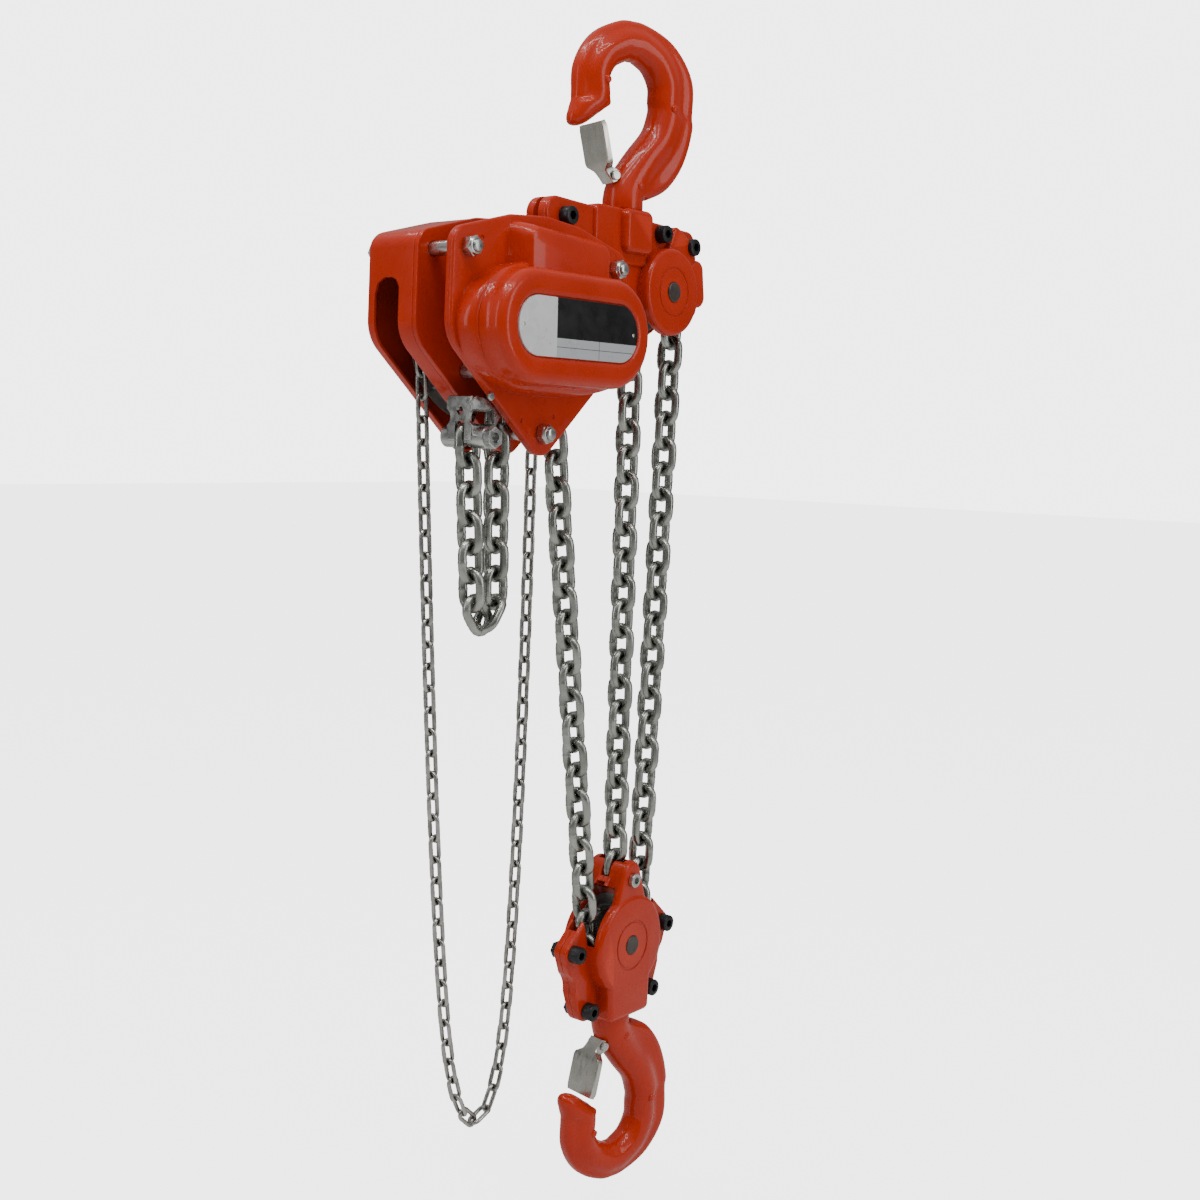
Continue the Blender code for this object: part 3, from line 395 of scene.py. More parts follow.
def chords(path, pitch):
    """Points along an (x, z) path, each one pitch from the last in a straight line."""
    nodes = [path[0]]
    for a, b in zip(path, path[1:]):
        start = a
        while math.dist(nodes[-1], b) >= pitch:
            low, high = 0.0, 1.0
            for _ in range(30):
                mid = (low + high) / 2.0
                spot = (start[0] + (b[0] - start[0]) * mid, start[1] + (b[1] - start[1]) * mid)
                low, high = (mid, high) if math.dist(nodes[-1], spot) < pitch else (low, mid)
            nodes.append(spot)
            start = spot
    return nodes


def tangent_side(a, b, reach):
    """Angle of the belt line from circle a to circle b on the side towards +X."""
    dx, dz = b[0] - a[0], b[1] - a[1]
    base = math.atan2(dz, dx)
    swing = math.acos(reach / math.hypot(dx, dz))
    return max((base + swing, base - swing), key=math.cos)


def load_chain_path(slack_z):
    """From the block's anchor, over the idler, round both sheaves, to the slack end's anchor."""
    pitch, wire, _ = LOAD_LINK
    hang = pitch / 2.0 - wire / 2.0 - 1.0
    path = [(BLOCK[0], BLOCK[1] + BLOCK_ANCHOR_Z + hang - pitch / 2.0)]
    path += arc(*IDLER, IDLER_R, 180, 0, 24)
    right = math.degrees(tangent_side(BLOCK, IDLER, BLOCK_R - IDLER_R))
    left = math.degrees(tangent_side(BODY, BLOCK, LOAD_R + BLOCK_R))
    path += arc(*BLOCK, BLOCK_R, right, left - 180, 24)
    path += arc(*BODY, LOAD_R, left, 180, 24)
    path += arc(BODY[0] + SLACK_X, slack_z, SLACK_R, 0, -180, 16)
    path.append((BODY[0] + ANCHOR[0], BODY[1] + ANCHOR[1] - hang + pitch / 2.0))
    return path


def hand_chain_path(bottom_z):
    """Half a turn over the hand wheel, then a slack loop below it."""
    drop = BODY[1] - bottom_z
    sag = []
    for i in range(121):
        h = drop * (i / 120.0) ** 4
        half = HAND_R * (h / drop) ** 0.291 * (1.0 - 0.35 * math.exp(-h / 30.0))
        sag.append((BODY[0] + 18.0 * (1.0 - h / drop), half, bottom_z + h))
    right = [(c + w, z) for c, w, z in reversed(sag)]
    left = [(c - w, z) for c, w, z in sag]
    return arc(*BODY, HAND_R, 180, 0, 40) + right[1:] + left[1:]


def fit_loop(build, low, high, pitch, odd):
    """Loop depth at which a whole number of links, odd or even, ends on the path's end."""
    def length(depth):
        path = build(depth)
        nodes = chords(path, pitch)
        return len(nodes) - 1 + math.dist(nodes[-1], path[-1]) / pitch

    wanted = round(length((low + high) / 2.0))
    wanted += (wanted % 2 == 1) != odd
    for _ in range(40):
        mid = (low + high) / 2.0
        low, high = (low, mid) if length(mid) < wanted else (mid, high)
    return chords(build((low + high) / 2.0), pitch), wanted


def add_link(bm, a, b, y, size, upright, around=12, path_steps=8):
    """One welded link between the chain points a and b, with a slight bead at its weld."""
    pitch, wire, width = size
    start = Vector((a[0], y, a[1]))
    along = (Vector((b[0], y, b[1])) - start).normalized()
    middle = start + along * (math.dist(a, b) / 2.0)
    side = Vector((0.0, 1.0, 0.0))
    normal = along.cross(side)
    across, out = (normal, side) if upright else (side, normal)
    bend = (width - wire) / 2.0
    offset = pitch / 2.0 + wire / 2.0 - bend
    spots = []
    for end, first in ((1.0, -90.0), (-1.0, 90.0)):
        for k in range(path_steps + 1):
            t = math.radians(first + 180.0 * k / path_steps)
            u, v = math.cos(t), math.sin(t)
            spots.append((end * offset + bend * u, bend * v, u, v, 1.0))
        for share in (0.38, 0.5, 0.62):
            fat = 1.09 if end > 0 and share == 0.5 else 1.0
            spots.append((end * offset * (1.0 - 2.0 * share), end * bend, 0.0, end, fat))
    rings = []
    for u, v, nu, nv, fat in spots:
        centre = middle + along * u + across * v
        outward = along * nu + across * nv
        ring = []
        for k in range(around):
            t = 2.0 * math.pi * k / around
            ring.append(centre + (outward * math.cos(t) + out * math.sin(t)) * (wire / 2.0 * fat))
        rings.append(ring)
    loft(bm, rings, closed=True)


ANCHORED_END = BLOCK[1] + BLOCK_ANCHOR_Z - ANCHOR_PIN_R - LOAD_LINK[1]
# Node, height where it gives way to the next, whether the path climbs there, and for a fall the
# heights that it hangs from and is carried by
STRETCHES = (("middle_fall_chain", IDLER[1], 1, (IDLER[1], ANCHORED_END)),
             ("idler_wrap_chain", IDLER[1], -1, None),
             ("right_fall_chain", BLOCK[1], -1, (IDLER[1], BLOCK[1])),
             ("block_wrap_chain", BLOCK[1], 1, None),
             ("left_fall_chain", BODY[1], 1, (BODY[1], BLOCK[1])),
             ("slack_chain", None, 0, None))


def load_chain():
    nodes, count = fit_loop(load_chain_path, BODY[1] - 330.0, BODY[1] - 250.0, LOAD_LINK[0], True)
    if len(nodes) == count:
        nodes.append(load_chain_path(BODY[1])[-1])
    groups = [[] for _ in STRETCHES]
    stage = 0
    for i in range(count):
        height = (nodes[i][1] + nodes[i + 1][1]) / 2.0
        _, limit, way, _ = STRETCHES[stage]
        if way and (height - limit) * way > 0:
            stage += 1
        groups[stage].append(i)
    for (name, _, _, fall), picks in zip(STRETCHES, groups):
        bm = bmesh.new()
        for i in picks:
            add_link(bm, nodes[i], nodes[i + 1], 0.0, LOAD_LINK, i % 2 == 0)
        body = "block_body" if name == "block_wrap_chain" else "frame"
        obj = piece(name + "_links", bm, CHAIN, body, (name,), sharp=60.0)
        if fall:
            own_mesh(obj)


def hand_chain():
    low = BODY[1] - HAND_DROP
    nodes, count = fit_loop(hand_chain_path, low - 25.0, low + 25.0, HAND_LINK[0], False)
    nodes = nodes[:count] + [nodes[0]]
    bm = bmesh.new()
    for i in range(count):
        add_link(bm, nodes[i], nodes[i + 1], HAND_Y, HAND_LINK, i % 2 == 0, 10, 7)
    piece("hand_chain_links", bm, HAND_CHAIN, "frame", ("hand_chain",), sharp=60.0)


# ---------------------------------------------------------------- geared body

def body_circles(inset=0.0):
    spots = [(0.0, 96.0, 22.0), (0.0, -107.5, 23.0)]
    for side in (-1, 1):
        spots += [(side * 50.0, 92.0, 22.0), (side * 116.3, 74.5, 21.7), (side * 98.0, 4.0, 42.0)]
    return [(x + BODY[0], z + BODY[1], r - inset) for x, z, r in spots]


def at_body(spots):
    return [(BODY[0] + x, BODY[1] + z) for x, z in spots]


def drill(spots, radius, y0, y1, steps=32):
    bm = bmesh.new()
    for spot in spots:
        turned([(radius, y0), (radius, y1)], steps, spot, bm)
    return bm


def side_plates():
    faces = (("gear_side_plate", -PLATE_OUT + GAP, -PLATE_IN), ("wheel_side_plate", PLATE_IN, PLATE_OUT))
    for name, y0, y1 in faces:
        bores = [drill(at_body(STAYS), STAY_R + GAP, y0 - 5, y1 + 5), drill([BODY], 30.0, y0 - 5, y1 + 5)]
        piece(name + "_sheet", slab(body_circles(0.5), y0, y1, 1.2, 1.2), RED, "frame", (name,), cuts=bores)


def oval(y, straight, rx, rz):
    """A ring between a stadium and an ellipse: two half-round ends set apart by a straight."""
    ring = []
    for i in range(RIM_STEPS):
        a = 2.0 * math.pi * (i + 0.5) / RIM_STEPS
        middle = BODY[0] + (straight if math.cos(a) > 0 else -straight)
        ring.append((middle + rx * math.cos(a), y, BODY[1] + rz * math.sin(a)))
    return ring


def blended(rings, steps):
    """Catmull-Rom points between rows of numbers, for smooth lofts."""
    out = []
    last = len(rings) - 1
    for i in range(last):
        p0, p1, p2, p3 = (rings[max(0, min(last, i + k))] for k in (-1, 0, 1, 2))
        for s in range(steps):
            t = s / steps
            row = []
            for a, b, c, d in zip(p0, p1, p2, p3):
                row.append(0.5 * (2 * b + (c - a) * t + (2 * a - 5 * b + 4 * c - d) * t * t
                                  + (3 * b - a - 3 * c + d) * t ** 3))
            out.append(tuple(row))
    return out + [rings[-1]]


def gear_cover():
    """Pressed flange, rounded bulge with a stadium front and plate recess, and the upper hump."""
    bulge = []
    for k in range(11):
        a = math.radians(86.0 * k / 10)
        u, v = math.cos(a), math.sin(a)
        bulge.append((-27 - 25 * v, 62 - 42 * u ** 1.2, 60 + 53 * u, 60 + 8 * u))
    for k in range(1, 6):
        a = math.radians(90.0 * k / 5)
        u, v = math.cos(a), math.sin(a)
        bulge.append((-52 - 12 * (1 - u), 62, 63.7 - 5.7 * v, 60.5 - 2.5 * v))
    rim = []
    for angle in (0, 15, 30, 45, 60, 75, 90):
        a = math.radians(angle)
        reach = 48.0 + 10.0 * math.cos(a)
        rim.append((-70.0 - 10.0 * math.sin(a), 62.0, reach, reach))
    inner = [(-80.0, 64, 37, 37), (-79.6, 65, 33.5, 33.5), (LABEL_Y + 0.6, 65, 31.6, 31.6),
             (LABEL_Y + 1.5, 65, 31.3, 31.3)]
    dome = loft(bmesh.new(), [oval(*row) for row in bulge + rim + inner])
    hump = []
    for y, left, right, top, corner in ((-27, -60, 82, 108, 12), (-34, -57, 79, 106.5, 12),
                                        (-45, -54, 76, 104, 12), (-53, -53, 74, 101.5, 12),
                                        (-56.5, -51, 72, 99, 11), (-58, -47, 68, 95, 9)):
        circles = [(left + corner, top - corner, corner), (right - corner, top - corner - 6, corner),
                   (left + 10, 30, 10), (right - 10, 30, 10)]
        hump.append([(x, y, z) for x, z in belt(shift(circles, BODY))])
    spots = at_body(((-97, 85), (79, 83), (-34, -94), (17, -89)))
    dents = drill(spots, 2.4, FLANGE_Y - 2, FLANGE_Y + 0.9, 20)
    flange = slab(body_circles(), FLANGE_Y, -PLATE_OUT, 2.4, 0.0)
    piece("gear_cover_shell", flange, RED, "frame", ("gear_cover",),
          adds=[dome, loft(bmesh.new(), hump)], cuts=[drill(at_body(STAYS), STAY_R + GAP, -60, -20), dents])
    head = [(4.6, FLANGE_Y), (4.6, FLANGE_Y - 0.8), (3.6, FLANGE_Y - 1.7), (0.4, FLANGE_Y - 2.0)]
    piece("gear_cover_rivet", turned(head, 32, at_body(((-80, -71),))[0]), ZINC, "frame")


def data_plate():
    circles = [(BODY[0] + x, BODY[1], 30.0) for x in (-65, 65)]
    sheet = slab(circles, LABEL_Y - 0.8, LABEL_Y - GAP + 2.0, 0.3)
    piece("data_plate_sheet", sheet, PRINT, "frame", ("data_plate",))
    head = [(2.0, LABEL_Y + 0.5), (2.0, LABEL_Y - 0.8), (1.4, LABEL_Y - 1.0), (0.3, LABEL_Y - 1.1)]
    bm = bmesh.new()
    for x in (-88, 88):
        turned(head, 20, (BODY[0] + x, BODY[1]), bm)
    piece("data_plate_rivets", bm, ZINC, "frame")


def wheel_cover():
    """Cup round the hand wheel with a wide window at the sides, and the guard rim inside it."""
    front = PLATE_OUT + GAP
    shell = slab(body_circles(1.0), front, COVER_BACK, 1.0, 9.0)
    space = slab(body_circles(4.0), front - 5, COVER_BACK - 3, 0.0, 7.0)
    cx, cz = BODY
    opening = ((46, -150), (46, 36), (50, 43), (56, 46), (68, 46), (77, 41), (81, 30), (81, -150))
    windows = []
    for side in (-1, 1):
        rings = [[(cx + side * x, y, cz + z) for y, z in opening] for x in (0.0, 160.0)]
        windows.append(loft(bmesh.new(), rings))
    piece("wheel_cover_shell", shell, RED, "frame", ("wheel_cover",),
          cuts=[space, *windows, drill(at_body(STAYS), STAY_R + GAP, 80, 110)])
    rim = slab(body_circles(12.0), front, 44.0, 0.0, 1.2)
    hollow = slab(body_circles(15.0), front - 2, 50.0)
    above = [(cx - 170, cz + 40), (cx + 170, cz + 40), (cx + 170, cz + 150), (cx - 170, cz + 150)]
    top = prism(above, 20, 60)
    piece("wheel_guard_rim", rim, RED, "frame", cuts=[hollow, top])


def stays():
    """Stay bolts with a shoulder, threaded ends, and a nut on each cover."""
    for (x, z), where in zip(STAYS, ("left", "right", "bottom")):
        place = (BODY[0] + x, BODY[1] + z)
        near_end = list(reversed(thread(FLANGE_Y, -44.5, 6.2)))
        shoulder = [(STAY_R, FLANGE_Y), (STAY_R, 97.0)]
        rod = turned(near_end + shoulder + thread(97.0, 108.0, 6.2), 32, place)
        hexagon(place, 19.0, FLANGE_Y - 9.5, FLANGE_Y - GAP, rod, phase=0.3)
        turned([(9.5, FLANGE_Y - 9.4), (8.2, FLANGE_Y - 11.6), (6.3, FLANGE_Y - 12.0)], 32, place, rod)
        hexagon(place, 19.0, COVER_BACK + GAP, COVER_BACK + 9.0, rod, phase=0.1)
        piece("stay_bolt_" + where + "_turned", rod, ZINC, "frame", ("stay_bolt_" + where,))


def end_anchor():
    """Sheet bracket with a slot, its tube, and the hexagon-headed pin of the slack end."""
    x, z = BODY[0] + ANCHOR[0], BODY[1] + ANCHOR[1]
    plate = slab([(x - 10, z + 40, 2.0), (x - 10, z - 2, 2.0)], -16.5, 16.5, 0.5, 0.5)
    slot = prism([(x - 20, z - 20), (x - 3, z - 20), (x - 3, z + 16), (x - 20, z + 16)], -6.5, 6.5)
    notches = []
    for radius, steps, y, height in ((4.5, 24, 0.0, 27), (9.0, 32, -22.0, 20), (9.0, 32, 22.0, 20)):
        bm = turned([(radius, -30), (radius, 30)], steps, (0, 0))
        bmesh.ops.rotate(bm, matrix=Matrix.Rotation(math.radians(90), 3, "Z"), verts=bm.verts)
        bmesh.ops.translate(bm, vec=(x - 10, y, z + height), verts=bm.verts)
        notches.append(bm)
    ears = []
    for y0, y1 in ((-19, -15.5), (15.5, 19)):
        ears.append(slab([(x, z, 11.0), (x + 22, z + 26, 9.0), (x - 4, z + 34, 8.0)], y0, y1, 0.8, 0.8))
    tubes = []
    for y0, y1 in ((-31, -7), (7, 29)):
        tubes.append(turned([(10.3, y0), (11.2, y0 + 0.9), (11.2, y1 - 0.9), (10.3, y1)], 40, (x, z)))
    piece("anchor_bracket_sheet", plate, ZINC, "frame", ("anchor_bracket",), adds=[*ears, *tubes],
          cuts=[slot, *notches, turned([(6.2, -40), (6.2, 40)], 32, (x, z))])
    pin = hexagon((x, z), 20.0, -40.0, -31.2, None, 1.0, 0.5)
    piece("anchor_pin_turned", pin, ZINC, "frame", ("anchor_pin",),
          adds=[turned([(ANCHOR_PIN_R, -33), (ANCHOR_PIN_R, 30)], 32, (x, z))],
          cuts=[turned([(5.4, -44), (5.0, -34)], 32, (x, z))])


# ---------------------------------------------------------------- sheaves and hand wheel

def wheel(name, node, axis, pitch_r, half, flange_r, bore, body, links, size):
    """A chain wheel: side flanges, a groove for the upright links, and ribs between the flat ones."""
    pitch, wire, width = size
    middle = math.sqrt(pitch_r ** 2 - (pitch / 2.0) ** 2)
    groove, seat = middle - width / 2.0 - 1.4, middle - wire / 2.0 - 1.4
    y = axis[2]
    side = [(bore, half), (flange_r - 1.5, half), (flange_r, half - 0.6), (seat + 2.0, half - 2.2),
            (seat, half - 4.0), (seat - 0.5, wire * 0.8), (groove, wire * 0.55)]
    profile = [(r, y - w) for r, w in side] + [(r, y + w) for r, w in reversed(side)]
    bm = turned(profile, 96, axis[:2], closed=True)
    ribs = []
    for k in range(links):
        a = 2.0 * math.pi * (k + 0.5) / links
        spot = (axis[0] + (seat + 1.0) * math.cos(a), axis[1] + (seat + 1.0) * math.sin(a))
        for w in (-1, 1):
            ribs.append((spot, y + w * (wire * 0.95), y + w * (half - 1.0)))
    lumps = bmesh.new()
    for spot, y0, y1 in ribs:
        turned([(1.6, y0), (2.6, (y0 + y1) / 2.0), (1.6, y1)], 12, spot, lumps)
    return piece(name, bm, IRON, body, (node,), adds=[lumps] if links else ())


def wheels():
    wheel("idler_sheave_cast", "idler_sheave", (*IDLER, 0.0), IDLER_R, SHEAVE_HALF, 45.4, SHEAVE_BORE,
          "idler_sheave_body", 4, LOAD_LINK)
    wheel("block_sheave_cast", "block_sheave", (*BLOCK, 0.0), BLOCK_R, SHEAVE_HALF, 53.0, SHEAVE_BORE,
          "block_sheave_body", 5, LOAD_LINK)
    wheel("hand_wheel_cast", "hand_wheel", (*BODY, HAND_Y), HAND_R, 12.0, 96.0, 8.4,
          "hand_wheel_body", 12, HAND_LINK)


# ---------------------------------------------------------------- housings

def socket_screw(name, node, place, face, body):
    """Black socket-head screw with its hexagon recess, through to a nut on the far shell."""
    head = -face - GAP
    bm = turned([(8.6, head - 12), (9.6, head - 11.4), (10, head - 10.6), (10, head), (5.5, head),
                 (5.5, face + 8)] + thread(face + 8, face + 10, 5.5, 1.2), 40, place)
    recess = hexagon(place, 9.0, head - 14, head - 5.5, None, 0.0, 0.2)
    piece(name, bm, BLACK, body, (node,), adds=[hexagon(place, 17.0, face + GAP, face + 8.0)], cuts=[recess])


def axle_pin(name, node, place, half, body):
    ends = [(AXLE_R - 1.0, -half), (AXLE_R, -half + 1.0), (AXLE_R, half - 1.0), (AXLE_R - 1.0, half)]
    piece(name, turned(ends, 40, place), BROWN, body, (node,))


def hook_space(cx, z0, z1, z2):
    """Stepped round room along Z that takes a hook's shank and its nut."""
    return upright_round([(14, z0), (14, z1), (23.5, z1), (23.5, z2)], 1.0, cx)


def top_yoke():
    """Two cast shells that carry the hook, the idler sheave and the geared body."""
    bx = BODY[0]
    wall = [(bx + 34, -183, 19), (bx + 32, -222, 12), (108, -188, 14), (120, -250, 14),
            (118, -262, 12), (62, -249, 30), (-35, -225, 12)]
    roof = shift([(0, 96, 24.5), (50, 92, 24.5), (116.3, 74.5, 24.2), (98, 4, 44)], BODY)
    for side, name in ((-1, "front"), (1, "back")):
        def layer(circles, inner, outer, edge):
            return slab(circles, side * inner, side * outer, 0.0, edge)

        housing = [(-62, -217, 8), (16, -217, 8), (-62, -171.5, 8), (16, -171.5, 8)]
        column = [(-15, -202, 10), (15, -202, 10), (-15, -173, 10), (15, -173, 10)]
        boss = layer([(*IDLER, 50)], 3.0, 30.0, 5.0)
        track = [(26, side * 31), (28.5, side * 31), (28.5, side * 29.4), (26, side * 29.4)]
        groove = turned(track, 64, IDLER, closed=True)
        lug = layer([(118, -219, 12), (121, -249, 13), (96, -240, 20)], 3.0, 24.0, 4.0)
        ridge = layer([(78, -180, 7), (96, -190, 8), (106, -206, 10), (70, -200, 8)], 3.0, 22.0, 3.0)
        cuts = [layer(roof, 19.2, 60.0, 0.0), layer([(*IDLER, 46.8)], -1.0, SHEAVE_ROOM, 0.0),
                layer([(5, -275, 5), (135, -275, 5), (5, -335, 5), (135, -335, 5)], -1.0,
                      SHEAVE_ROOM, 0.0),
                layer([(*IDLER, 58)], -1.0, CHAIN_ROOM, 0.0), hook_space(0.0, -150, -176, -205), groove,
                drill(YOKE_SCREWS, SCREW_ROOM, -60, 60), drill([IDLER], AXLE_ROOM, -60, 60),
                drill([(bx + 42, BODY[1] + 90)], 8.3, -60, 60),
                drill(at_body(STAYS[1:2]), STAY_R + 1, -60, 60)]
        adds = [boss, layer(housing, 3.0, 18.9, 3.0), layer(column, 3.0, 28.0, 6.0), ridge, lug]
        piece(f"yoke_{name}_casting", layer(wall, 3.0, YOKE_FACE, 3.0), RED, "frame",
              (f"yoke_{name}_shell",), adds=adds, cuts=cuts)
    for i, place in enumerate(YOKE_SCREWS):
        socket_screw(f"yoke_screw_{i + 1}_socket", f"yoke_screw_{i + 1}", place, YOKE_FACE, "frame")
    axle_pin("idler_axle_pin", "idler_axle", IDLER, 32.0, "frame")


def bottom_block():
    """Two cast shells round the lower sheave, with the hook's neck below."""
    for side, name in ((-1, "front"), (1, "back")):
        def layer(circles, inner, outer, edge):
            return slab(shift(circles, BLOCK), side * inner, side * outer, 0.0, edge)

        ears = [(x, z, 13.0) for x, z in BLOCK_SCREWS]
        body = layer([*ears, (0, 78, 16)], GAP, BLOCK_FACE, 2.5)
        boss = layer([(0, 0, 60)], GAP, 30.0, 6.0)
        head = layer([(0, 84, 17), (0, 30, 34)], GAP, 28.0, 5.0)
        foot = layer([(0, 0, 40), (-30, -80, 8), (30, -80, 8)], GAP, 30.0, 6.0)
        pads = []
        for x, z in BLOCK_SCREWS:
            pads.append(layer([(x, z, 12.0), (x * 0.75, z * 0.75, 14.0)], GAP, BLOCK_FACE, 2.0))
        track = [(27, side * 31), (30, side * 31), (30, side * 29.2), (27, side * 29.2)]
        ring = turned(track, 64, BLOCK, closed=True)
        cx, cz = BLOCK
        anchor_rooms = []
        for half, low, depth in ((18.6, 30, 6.0), (7, 60, 18.5)):
            outline = [(cx - half, cz + low), (cx + half, cz + low), (cx + half, cz + 120),
                       (cx - half, cz + 120)]
            anchor_rooms.append(prism(outline, side * -1.0, side * depth))
        cuts = []
        for circles, depth in (([(107, -41, 28)], 40.0), ([(0, 0, 55), (50, 60, 22)], SHEAVE_ROOM),
                               ([(0, 0, 67), (58, 60, 26)], CHAIN_ROOM)):
            for way in (-1, 1):
                cuts.append(layer([(way * x, z, r) for x, z, r in circles], -1.0, depth, 0.0))
        cuts += [*anchor_rooms, hook_space(cx, cz - 110, cz - 78, cz - 54), ring,
                 drill([(cx + x, cz + z) for x, z in BLOCK_SCREWS], SCREW_ROOM, -60, 60),
                 drill([BLOCK], AXLE_ROOM, -60, 60), drill([(cx, cz + BLOCK_ANCHOR_Z)], 6.3, -60, 60)]
        piece(f"block_{name}_casting", body, RED, "block_body", (f"block_{name}_shell",),
              adds=[boss, head, foot, *pads], cuts=cuts)
    for i, (x, z) in enumerate(BLOCK_SCREWS):
        node = f"block_screw_{i + 1}"
        socket_screw(node + "_socket", node, (BLOCK[0] + x, BLOCK[1] + z), BLOCK_FACE, "block_body")
    axle_pin("block_axle_pin", "block_axle", BLOCK, 31.5, "block_body")
    place = (BLOCK[0], BLOCK[1] + BLOCK_ANCHOR_Z)
    screw = turned([(7.6, -34), (8.5, -33.2), (8.5, -28.3), (6, -28.3), (6, 29), (5, 30)], 40, place)
    piece("chain_anchor_screw_socket", screw, ZINC, "block_body", ("chain_anchor_screw",),
          cuts=[hexagon(place, 8.0, -36, -30.0, None, 0.0, 0.4)])


# ---------------------------------------------------------------- hooks

def hook_rows():
    """Centre line in the hook's plane: x, z, half depth, half thickness, heading, roundness."""
    rows = [(0.0, -162.6, NECK_R, NECK_R, 90, 1), (0.0, -149.0, NECK_R, NECK_R, 90, 1),
            (8.0, -136.0, 26.0, 21.5, 62, 0.5), (31.5, -114.5, 32.0, 21.0, 51, 0),
            (53.0, -87.5, 31.5, 21.0, 52, 0), (63.0, -57.0, 29.5, 20.5, 73, 0)]
    bowl = ((-12, 29.0), (15, 28.5), (45, 25.2), (75, 22.4), (90, 22.0), (105, 22.0), (135, 22.2),
            (165, 22.5))
    for angle, depth in bowl:
        a = math.radians(angle)
        reach = BOWL_R + depth
        x, z = BOWL_X + reach * math.cos(a), reach * math.sin(a) - SADDLE_DROP
        rows.append((x, z, depth, 19.0, angle + 90, 0))
    rows += [(-48.5, -44.0, 23.0, 17.5, 262, 0), (-57.0, -56.0, 16.5, 15.5, 242, 0.3),
             (-65.0, -66.0, 12.0, 13.0, 232, 0.8), (-70.5, -71.5, 8.5, 10.0, 228, 1),
             (-74.0, -74.8, 4.6, 6.0, 226, 1), (-75.4, -76.2, 1.2, 1.6, 225, 1)]
    return blended(rows, 6)


def section(row, up):
    """One ring of the hook: a round bar on the bowl's side, with a flat web and rim behind it."""
    x, z, depth, thick, heading, roundness = row
    a = math.radians(heading)
    inward = Vector((-math.sin(a), 0.0, math.cos(a)))
    bar = min(thick, depth)
    web, edge = thick * 0.62, min(9.0, depth * 0.5)
    ring = []
    for k in range(HOOK_STEPS):
        t = 2.0 * math.pi * (k + 0.5) / HOOK_STEPS
        u, v = math.cos(t), math.sin(t)
        s = depth * u
        bar_half = math.sqrt(max(0.0, bar ** 2 - (s - (depth - bar)) ** 2))
        behind = min(edge, s + depth)
        web_half = web - edge + math.sqrt(max(0.0, edge ** 2 - (edge - behind) ** 2))
        web_half *= min(1.0, max(0.0, (depth - s) / edge))
        half = (bar_half ** 8 + max(0.0, web_half) ** 8) ** 0.125
        side = math.copysign(half, v) * (1.0 - roundness) + thick * v * roundness
        p = Vector((x, 0.0, z)) + inward * s + Vector((0.0, side, 0.0))
        ring.append((p.x, p.y, p.z * up))
    return ring


def place_hook(obj_bm, axis_x, saddle_z, yaw):
    matrix = Matrix.Translation((axis_x, 0.0, saddle_z)) @ Matrix.Rotation(yaw, 4, "Z")
    bmesh.ops.transform(obj_bm, matrix=matrix, verts=obj_bm.verts)
    return obj_bm


def upright_round(profile, up, cx=0.0):
    """A turned shape about a vertical axis at cx, with its profile as (r, z)."""
    turns = [2 * math.pi * i / HOOK_STEPS for i in range(HOOK_STEPS)]
    rings = [[(cx + r * math.cos(a), r * math.sin(a), z * up) for a in turns] for r, z in profile]
    return loft(bmesh.new(), rings)


def pips(up):
    """Three round gauge pips on each cheek of the hook's bar."""
    bm = bmesh.new()
    for side in (-1, 1):
        for x, z, top in ((55.0, -46.0, 22.0), (9.0, -136.0, 23.0), (-37.0, -26.0, 20.0)):
            profile = ((4.4, top - 9), (4.2, top - 1.2), (3.0, top - 0.3), (0.3, top))
            turned([(r, side * y) for r, y in profile], 20, (x, z * up), bm)
    return bm


def nose():
    """Ledge inside the hook's point that the latch closes against."""
    return slab([(-31.0, -48.0, 5.0), (-44.0, -52.0, 9.0), (-38.0, -34.0, 9.0)], -11.5, 11.5, 4.0, 4.0)


